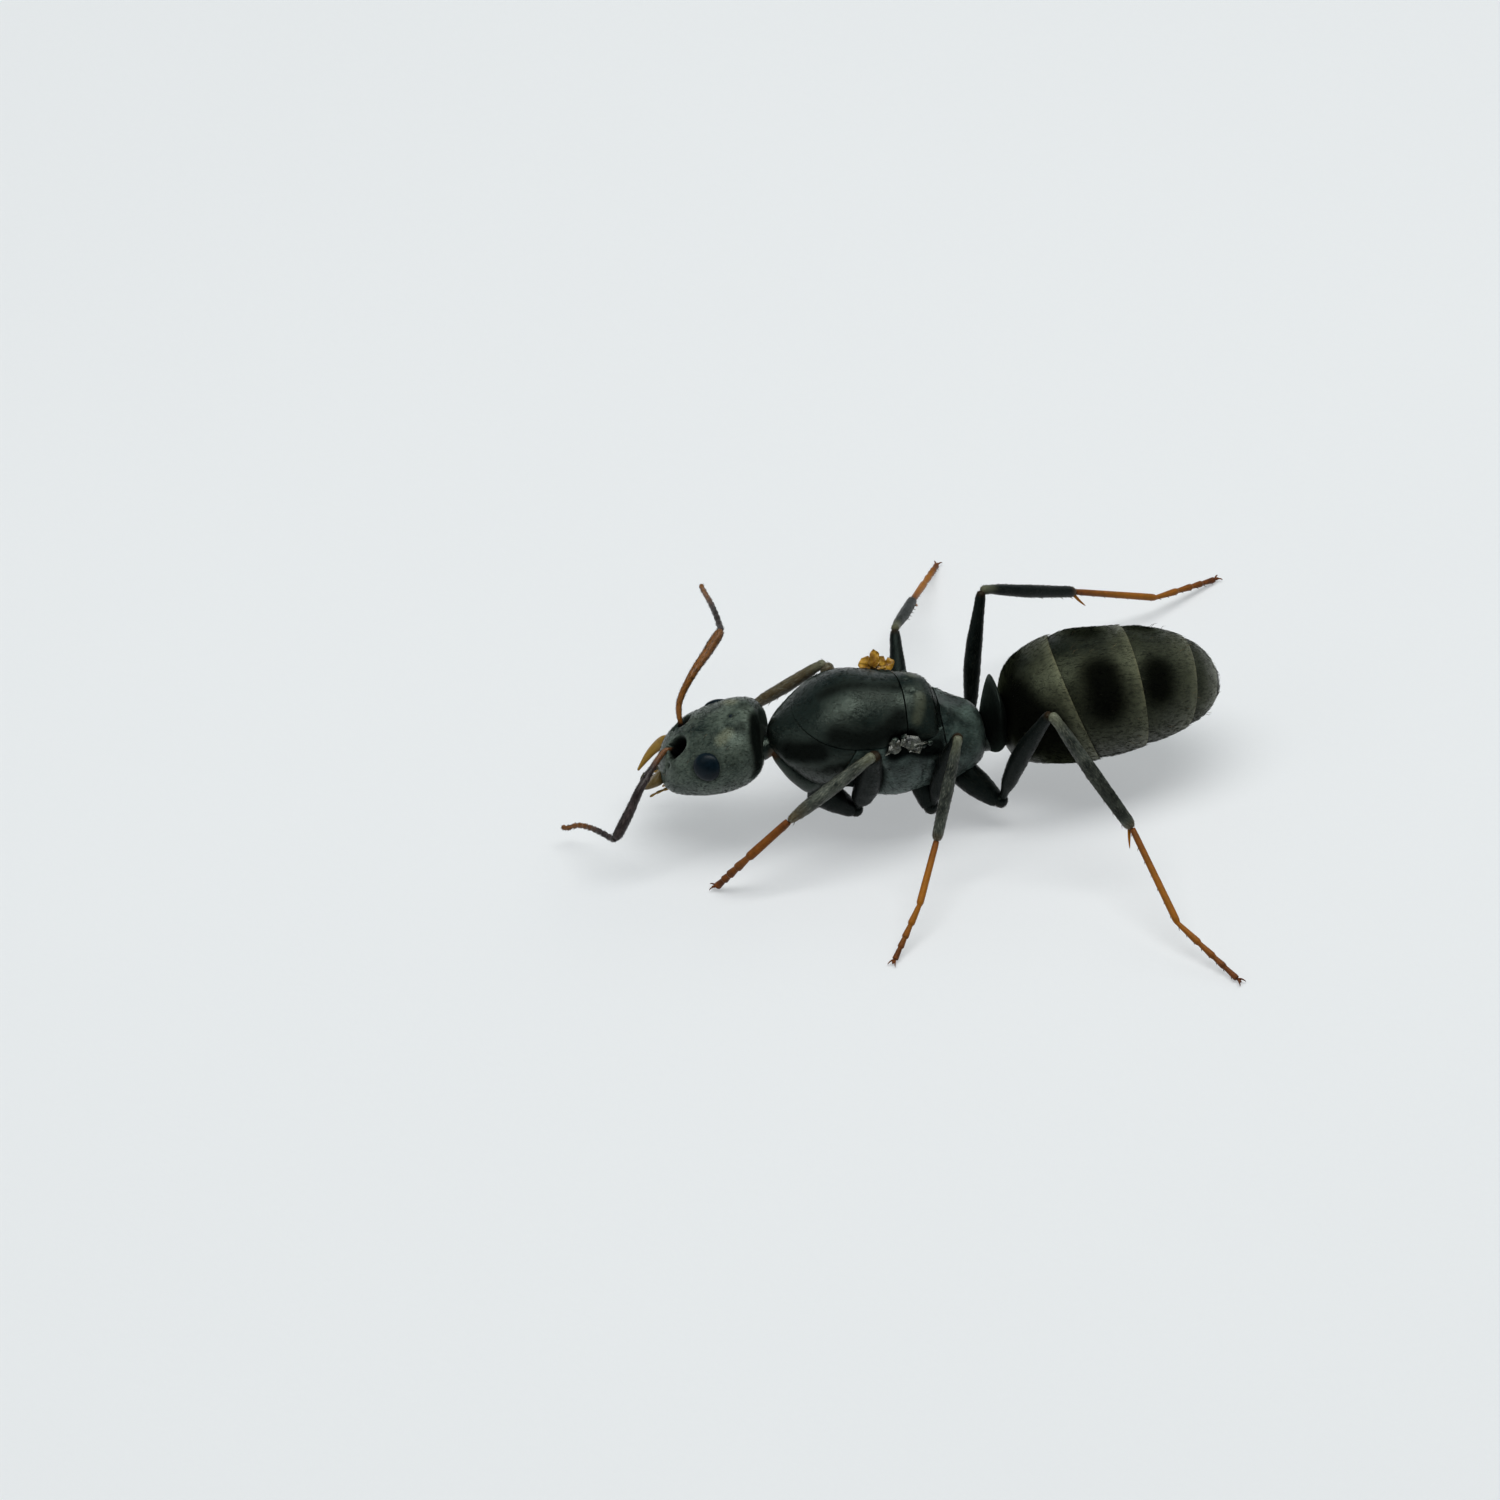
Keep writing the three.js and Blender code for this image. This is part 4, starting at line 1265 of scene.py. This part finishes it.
GASTER_LINE = body_line(GASTER, -1.7, 1.7)


def make_petiole():
    """The upright scale and the stalk that carries it."""
    axes = Matrix(((0, 1, 0), (-1, 0, 0), (0, 0, 1))).transposed()
    rings = [(PETIOLE @ Vector((0, 0, height)), axes, width * MM, thick * MM)
             for height, width, thick in through(SCALE, 26)]
    scale = smoothed(loft("petiole_scale", rings, 36), 1)
    path = spots_at(THORAX, (1.5, 0, -0.15)) + spots_at(PETIOLE, (0, 0, -0.4), (0.3, 0, -0.32))
    stalk = smoothed(limb("petiole_stalk", path, [(0, 0.26), (0.5, 0.3), (1, 0.24)], 16, 24), 1)
    # painted shade over the scale's lower part
    worked(scale, PETIOLE, [(0, 0, -0.7), (0, 0, 0.1)], ("hollow", 0.9, 0.42, 0.66))
    fitted(shaded(scale), BLACK, "black_shell", THORAX_LINE, "petiole")
    fitted(shaded(stalk), BLACK, "black_shell", THORAX_LINE)


def past_plane(piece, place, normal, offset):
    """How far each vertex lies past a plane, in a body's own millimetres."""
    inward = np.array(place.inverted())
    return (spots_of(piece) @ inward[:3, :3].T + inward[:3, 3]) @ np.array(normal) - offset


def mark_rear_edge(ring, n, past, back):
    """The pale hem of a plate's rear edge, with painted sheen in a wider, fainter band ahead of it, and a
    back plate's painted dark reflections, which stop short of it.
    """
    told(ring, "hem", 0.6 * fade(past, 0.06, 0.22))
    # a wider, fainter band of painted sheen
    told(ring, "hem", 0.24 * fade(past, 0.2, 0.5))
    if back and n in PAINTED_REFLECTIONS:
        path, core, reach = PAINTED_REFLECTIONS[n]
        for _, sign in SIDES:
            gap = gaps(ring, GASTER, around(path, sign))
            told(ring, "hollow", 0.9 * fade(gap, core, reach) * (1 - fade(past, 0.1, 0.3)))
    told(ring, "warm", 0.4 * fade(past, 0.0, 0.025))


def make_gaster():
    """Five rings of back plates, each tucked under the one before, over a row of belly plates."""
    barrel = smoothed(loft("barrel", body_rings(GASTER, BARREL, 44), 64), 1)
    plates = []
    for n, part in [(n, part) for n in range(5) for part in ("tergite", "sternite")][:-1]:
        back, last = part == "tergite", n == 4
        slide = 0.0 if back else BELLY["slide"]
        ring = copied(barrel, "tail_tip" if last else f"{part}_{n + 1}")
        if n:
            normal, start = leaning(EDGES[n - 1][0]), EDGES[n - 1][1] + slide - TUCK
            cut(ring, GASTER, *keep_past(normal, start), fill=False)
            edit(ring, past_plane(ring, GASTER, normal, start) < 0.08)
            bpy.ops.transform.shrink_fatten(
                value=-TUCK_DEPTH * MM, use_proportional_edit=True, proportional_edit_falloff="SMOOTH",
                proportional_size=TUCK_REACH * MM)
            done()
        if not back:
            puffed(ring, -BELLY["sunk"])
            cut(ring, GASTER, (0, 0, -0.45), (0, 0, 1), fill=False)
        elif not last:
            cut(ring, GASTER, (0, 0, -0.66), (0, 0, -1), fill=False)
        if not last:
            normal, end = leaning(EDGES[n][0]), EDGES[n][1] + slide
            cut(ring, GASTER, *keep_before(normal, end), fill=False)
            mark_rear_edge(ring, n, -past_plane(ring, GASTER, normal, end), back)
        finish(ring, ("SOLIDIFY", {"thickness": PLATE_THICKNESS * MM, "offset": -1, "use_rim": True}),
               ("BEVEL", {"width": PLATE_RIM * MM, "segments": 2, "limit_method": "ANGLE",
                          "angle_limit": math.radians(50)}))
        nodes = GASTER_NODES[n:n + 1] if back else ()
        plates.append(fitted(shaded(ring), SILKY, "gaster_shell", GASTER_LINE, *nodes))
    removed(barrel)
    return plates


make_petiole()
gaster = make_gaster()

# ---------------------------------------------------------------- feelers

JOINTS = 11
STEM = [(0, 0.05), (0.03, 0.066), (0.055, 0.055), (0.08, 0.032), (0.12, 0.042), (0.3, 0.052), (0.6, 0.07),
        (0.86, 0.084), (0.96, 0.08), (1, 0.05)]


def make_feeler(side, sign):
    x, y, z = SOCKET
    socket, rim = spots_at(HEAD, (x, sign * y, z), (-0.61, sign * 0.2, 0.425))
    shaft = sections(f"scape_{side}", (0.45, 0.7, 0.95), socket)
    bow = socket.lerp(shaft[0], 0.5) + Vector((-0.12, 0.03, 0))
    stem = [socket, rim if side == "left" else bow, *shaft]
    lash_line = sections(f"funiculus_{side}", (0.14, 0.3, 0.45, 0.6, 0.75, 0.88, 0.96), stem[-1])
    line = Line([*stem, *lash_line], 120)
    scape = smoothed(limb(f"stem_{side}", stem, STEM, 46, 16), 1)
    run = line.coordinates(spots_of(scape) / MM)[:, 0] / line.run[-1]
    # the stem's base, down in its pit, is blacked with painted shade
    told(scape, "hollow", fade(run, 0.03, 0.06))
    told(scape, "warm", 0.6 * fade(run, 0.1, 0.22) if side == "left" else 1 - 0.8 * run)
    fitted(shaded(scape), UMBER, "feeler_shell", line, f"scape_{side}")
    lash = smoothed(beaded([stem[-1], *lash_line], JOINTS, 0.054, 0.042), 1)
    run = line.coordinates(spots_of(lash) / MM)[:, 0] / line.run[-1]
    told(lash, "warm", 0.75 * fade(1 - run, 0.1, 0.3))
    fitted(shaded(lash), UMBER, "feeler_shell", line, f"funiculus_{side}")
    coat(f"feeler_down_{side}", [scape, lash], line, 1500, 0.045, 0.0022, "feeler_shell", (0.2, 0.5))


for side, sign in SIDES:
    make_feeler(side, sign)

# ---------------------------------------------------------------- legs

COXA = [(0, 0.2), (0.2, 0.23), (0.5, 0.215), (0.8, 0.16), (0.95, 0.13), (1, 0.08)]
TROCHANTER = [(0, 0.05), (0.15, 0.1), (0.5, 0.12), (0.85, 0.095), (1, 0.05)]
FEMUR = [(0, 0.07), (0.06, 0.1), (0.18, 0.8), (0.4, 1.0), (0.62, 0.93), (0.85, 0.66), (0.95, 0.6), (1, 0.4)]
FEMUR_RADIUS = {"front": 0.215, "middle": 0.16, "hind": 0.155}
TIBIA = [(0, 0.055), (0.03, 0.092), (0.08, 0.08), (0.2, 0.1), (0.5, 0.118), (0.8, 0.108), (0.95, 0.102),
         (0.985, 0.088), (1, 0.05)]
TARSOMERES = ((0.054, 0.06), (0.042, 0.059), (0.042, 0.058), (0.042, 0.056), (0.04, 0.052))
TOE_SHARES = (0.0, 0.36, 0.6, 0.78, 1.0)
SPUR = {"front": 0.25, "middle": 0.22, "hind": 0.33}
GLOW = {"front": 0.25, "middle": 0.7, "hind": 0.6}  # how amber the middle of the foot is
HOOK = ((0, 0, 0), (0.05, 0.03, 0.016), (0.1, 0.055, 0), (0.12, 0.07, -0.034))  # a claw: ahead, out, up
PAD = ((0, 0), (0.05, -0.006), (0.085, -0.014))  # the pad between the claws: ahead, up
SLIM_FRONT_ANKLE = 0.72
SLIM_MIDDLE_SHIN = 0.86
STOUT_FOOT = 1.25  # the left front foot, by the others
FOOT_AHEAD = 0.1131371  # how much farther than its CAD node the left front foot reaches, of the toes' span
RIGHT_IS_SLIMMER = 0.9
CLEARANCE = 0.006  # under the last joint of each foot


def tarsus_widths(heel_share, stout):
    """The five joints of a foot, each widest at its end; the first is as long as the span to the heel."""
    ends = [0.0] + [heel_share + (1 - heel_share) * share for share in TOE_SHARES]
    widths = []
    for (base, tip), start, end in zip(TARSOMERES, ends, ends[1:]):
        for share, radius in ((0.0, base * 0.9), (0.1, base), (0.5, (base + tip) / 2), (0.84, tip),
                              (0.96, tip), (0.999, tip * 0.8)):
            widths.append((start + (end - start) * share, radius * stout))
    return widths


def spines_along(start, end, under, count, length, radius):
    """Rows of stout spines on both sides of a limb's inner face: roots, middles and tips."""
    ahead = (end - start).normalized()
    across = ahead.cross(under)
    found = []
    for n in range(count):
        for row in (-1, 1):
            out = (under + across * row * 0.6).normalized()
            root = start.lerp(end, (n + 0.5 + 0.15 * row) / count) + out * radius * 0.8
            way = (ahead * 0.8 + out * 0.6).normalized()
            size = length * float(CHANCE.uniform(0.8, 1.15))
            found.append((root, root + way * size * 0.55, root + way * size + ahead * size * 0.15))
    return found


def bones(leg, stout):
    """The joints of a leg from hip to toe, where the lines of its CAD nodes meet."""
    coxa = sections(f"coxa_{leg}", (0.3, 0.75), spots_at(THORAX, (0, 0, 0.3))[0])
    femur = sections(f"femur_{leg}", (0.3, 0.7), coxa[1])
    tibia = sections(f"tibia_{leg}", (0.3, 0.7), femur[1])
    tarsus = sections(f"tarsus_{leg}", (0.12, 0.3, 0.7, 0.86), tibia[1])
    soles = triangles(f"tarsus_{leg}").reshape(-1, 3)
    sole = soles[soles[:, 2] < 1e-3].mean(0)
    foot = Vector((sole[0], sole[1], TARSOMERES[-1][1] * stout + CLEARANCE))
    hip = coxa[0] - (coxa[1] - coxa[0]) * 0.5
    ankle = meeting(tibia, tarsus[:2])
    heel = meeting(tarsus[:2], tarsus[2:])
    if (tarsus[1] - tarsus[0]).angle(tarsus[3] - tarsus[2]) < math.radians(6):
        heel = ankle.lerp(foot, 0.48)
    if leg == "front_left":
        ankle = ankle.lerp(heel, 0.16)
        foot.xy += (foot - heel).xy * FOOT_AHEAD
    return hip, meeting(coxa, femur), meeting(femur, tibia), ankle, heel, foot


class Leg:
    """A leg's joints, its centre line and the directions that its pieces share."""

    def __init__(self, pair, side):
        self.pair, self.side, self.name = pair, side, f"{pair}_{side}"
        self.slim = 1.0 if side == "left" else RIGHT_IS_SLIMMER
        self.stout = STOUT_FOOT if self.name == "front_left" else 1.0
        joints = bones(self.name, self.stout)
        self.hip, self.trochanter, self.knee, self.ankle, self.heel, self.foot = joints
        self.line = Line(joints, 160, straight=True)
        back = self.trochanter - self.knee
        self.thigh_way = (self.knee - self.trochanter).normalized()
        self.shin_way = (self.ankle - self.knee).normalized()
        self.flex = (back - self.shin_way * back.dot(self.shin_way)).normalized()
        self.neck = self.trochanter + self.thigh_way * 0.16

    def fit(self, piece, material, slot, node):
        return fitted(shaded(piece), material, slot, self.line, f"{node}_{self.name}")

    def make_hip(self):
        path = [self.trochanter - self.thigh_way * 0.06, self.trochanter, self.neck]
        ring = limb("trochanter", path, TROCHANTER, 12, 20)
        widths = [(share, radius * self.slim) for share, radius in COXA]
        base = limb("hip", [self.hip, self.trochanter], widths, 14, 24)
        coxa = smoothed(joined(f"hip_{self.name}", ring, base), 1)
        told(coxa, "warm", 0.15 * fade(apart(coxa, self.trochanter), 0.05, 0.16))
        return self.fit(coxa, INKY, "black_shell", "coxa")

    def make_thigh(self):
        radius = FEMUR_RADIUS[self.pair] * self.slim
        widths = [(share, max(part * radius, 0.06) if share else part) for share, part in FEMUR]
        up = self.thigh_way.cross(self.shin_way).cross(self.thigh_way).normalized()
        bow = (self.knee + self.trochanter) / 2 - up * 0.07
        path = [self.neck - self.thigh_way * 0.05, bow, self.knee]
        thigh = smoothed(limb(f"thigh_{self.name}", path, widths, 28, 20), 1)
        told(thigh, "warm", 0.2 * fade(apart(thigh, self.knee), 0.05, 0.15))
        if self.name == "front_right":
            told(thigh, "warm", 0.7)
        return self.fit(thigh, SOOTY if self.name == "front_right" else INKY, "leg_shell", "femur")

    def make_shin(self):
        knee, ankle = self.knee, self.ankle
        slim = self.slim * (SLIM_MIDDLE_SHIN if self.pair == "middle" else 1)
        ankle_slim = SLIM_FRONT_ANKLE if self.pair == "front" else 1
        widths = [(share, radius * slim * (ankle_slim if share > 0.9 else 1)) for share, radius in TIBIA]
        path = [knee, knee.lerp(ankle, 0.12) - self.flex * 0.02, knee.lerp(ankle, 0.5), ankle]
        shin = smoothed(limb(f"shin_{self.name}", path, widths, 36, 18), 1)
        from_knee = apart(shin, knee)
        rusty_reach = 0.5 if self.name == "front_left" else 0.22
        told(shin, "warm", 0.9 * fade(apart(shin, ankle), 0.03, rusty_reach))
        told(shin, "warm", 0.25 * fade(from_knee, 0.04, 0.12))
        # a painted highlight at the top of each shin, below the knee
        told(shin, "hem", 0.8 * fade(from_knee, 0.08, 0.4))
        # painted shade over the left hind shin's lower part, fading out before the ankle
        if self.name == "hind_left":
            run = from_knee / (ankle - knee).length
            told(shin, "hollow", 0.5 * fade(1 - run, 0.3, 0.8) * fade(run, 0.86, 0.95))
        if self.name == "front_right":
            told(shin, "warm", 0.7)
        sooty = self.side == "left" or self.pair == "front"
        return self.fit(shin, SOOTY if sooty else INKY, "leg_shell", "tibia")

    def make_claws(self):
        """Two hooked claws with the soft pad between them."""
        heading = self.foot - self.heel
        heading.z = 0
        heading.normalize()
        across = Vector((-heading.y, heading.x, 0))
        parts = []
        for turn in (-1, 1):
            arc = [self.foot + heading * ahead + across * turn * out + Vector((0, 0, up))
                   for ahead, out, up in HOOK]
            parts.append(limb("claw", arc, [(0, 0.02), (0.5, 0.014), (0.85, 0.008), (1, 0.002)], 10, 8))
        pad = [self.foot + heading * ahead + Vector((0, 0, up)) for ahead, up in PAD]
        parts.append(limb("pad", pad, [(0, 0.02), (0.6, 0.026), (1, 0.012)], 6, 10))
        return parts

    def make_foot(self):
        """The five joints of the foot, its claws, and the spur at the ankle."""
        first, rest = (self.heel - self.ankle).length, (self.foot - self.heel).length
        widths = tarsus_widths(first / (first + rest), self.stout)
        toes = limb("tarsus", [self.ankle, self.heel, self.foot], widths, 121, 12, straight=True)
        way = ((self.heel - self.ankle).normalized() * 0.85 + self.flex * 0.5).normalized() * SPUR[self.pair]
        root = self.ankle + self.flex * 0.05 - self.shin_way * 0.02
        path = [root, root + way * 0.5 + self.flex * 0.008, root + way]
        spur = limb("spur", path, [(0, 0.032), (0.5, 0.024), (0.9, 0.01), (1, 0.002)], 12, 8)
        foot = smoothed(joined(f"foot_{self.name}", *self.make_claws(), spur, toes), 1)
        from_middle = np.abs(apart(foot, self.foot) - (first + rest) * 0.55)
        told(foot, "warm", GLOW[self.pair] * fade(from_middle, 0.2, (first + rest) * 0.6))
        worked(foot, Matrix.Scale(MM, 4), [root, root + way], ("warm", 0.9, 0.03, 0.04))
        self.fit(foot, RUSTY, "tarsus_shell", "tarsus")

    def make_spines(self):
        toe_way = (self.foot - self.heel).normalized()
        toe_under = (self.flex - toe_way * self.flex.dot(toe_way)).normalized()
        spines = [
            *spines_along(self.knee.lerp(self.ankle, 0.45), self.ankle, self.flex, 5, 0.09, 0.1),
            *spines_along(self.ankle, self.heel, self.flex, 7, 0.06, 0.05),
            *spines_along(self.heel, self.foot, toe_under, 8, 0.055, 0.045),
        ]
        ends = [np.array([list(spine[k]) for spine in spines]) for k in range(3)]
        spread = np.stack([np.linspace(0.02, 0.97, len(spines)), np.full(len(spines), 0.5)], 1)
        strands(f"leg_spines_{self.name}", *ends, 0.008, spread, PEAT, "tarsus_shell", self.line)


def make_leg(pair, side):
    leg = Leg(pair, side)
    downy = [leg.make_hip(), leg.make_thigh(), leg.make_shin()]
    leg.make_foot()
    coat(f"leg_down_{leg.name}", downy, leg.line, 2600, 0.06, 0.0018, "leg_shell")
    leg.make_spines()


for pair in LEG_PAIRS:
    for side, _ in SIDES:
        make_leg(pair, side)

# ---------------------------------------------------------------- down and bristles of the body

coat("head_down", [head], HEAD_LINE, 5000, 0.06, 0.0019, "black_shell")
coat("thorax_down", thorax, THORAX_LINE, 8000, 0.07, 0.002, "black_shell")
coat("gaster_down", gaster, GASTER_LINE, 16000, 0.085, 0.0022, "gaster_shell", stray=0.2)
coat("body_bristles", [*gaster[2:], head], GASTER_LINE, 60, 0.13, 0.004, "gaster_shell",
     (0.7, 1.2), 0.4, STRAW)

# ---------------------------------------------------------------- floor, light and camera

deselect()
bpy.ops.mesh.primitive_plane_add(size=1.2, location=(0, 0, 0))
ground = bpy.context.object
ground.name = "floor"
ground.data.materials.append(FLOOR)

LAMPS_AIM = (0, 0, 0.001)
CAMERA_AIM = (-2.884, 0.782, 1.5)  # to the right, up and towards the camera, in millimetres
CAMERA_AWAY = 0.1302
TURN, TILT = math.radians(-13.8), math.radians(45.4)
toward = Vector((math.sin(TURN) * math.cos(TILT), -math.cos(TURN) * math.cos(TILT), math.sin(TILT)))
right = Vector((math.cos(TURN), math.sin(TURN), 0))


def light_room():
    """A pale room with one dark screen, high in front."""
    bpy.context.scene.view_settings.view_transform = "Standard"
    world = bpy.data.worlds.new("studio")
    bpy.context.scene.world = world
    world.use_nodes = True
    web = Web(world.node_tree, world.node_tree.nodes["Background"].inputs)
    way = web.put("TexCoord")["Generated"]
    facing = web.put("VectorMath", (0, way), (1, toward), operation="DOT_PRODUCT")["Value"]
    screen = web.ranged(facing, math.cos(math.radians(44)), math.cos(math.radians(20)))
    web.into("Color", web.mixed((0.12, 0.185, 0.195), (screen, (0.001, 0.003, 0.003))))
    web.ends["Strength"].default_value = 1.0


def softbox(name, spot, size, watts, colour=(1, 1, 1)):
    light = bpy.data.lights.new(name, "AREA")
    light.shape, light.energy, light.color = "ELLIPSE", watts, colour
    light.size, light.size_y = size
    lamp = bpy.data.objects.new(name, light)
    bpy.context.scene.collection.objects.link(lamp)
    lamp.location = spot
    lamp.rotation_euler = (Vector(LAMPS_AIM) - Vector(spot)).to_track_quat("-Z", "Y").to_euler()


def set_camera():
    aim = (right * CAMERA_AIM[0] + toward.cross(right) * CAMERA_AIM[1] + toward * CAMERA_AIM[2]) * MM
    lens = bpy.data.cameras.new("camera")
    lens.lens, lens.sensor_width = 200, 36
    lens.clip_start, lens.clip_end = 0.001, 10
    camera = bpy.data.objects.new("camera", lens)
    bpy.context.scene.collection.objects.link(camera)
    camera.location = aim + toward * CAMERA_AWAY
    camera.rotation_euler = toward.to_track_quat("Z", "Y").to_euler()
    bpy.context.scene.camera = camera


light_room()
softbox("top", (0.0, 0.006, 0.1), (0.15, 0.045), 0.1, (0.99, 1, 0.96))
softbox("right", (0.09, 0.06, 0.075), (0.055, 0.055), 0.018, (1, 0.98, 0.9))
softbox("left", (-0.1, -0.02, 0.07), (0.05, 0.05), 0.006)
set_camera()
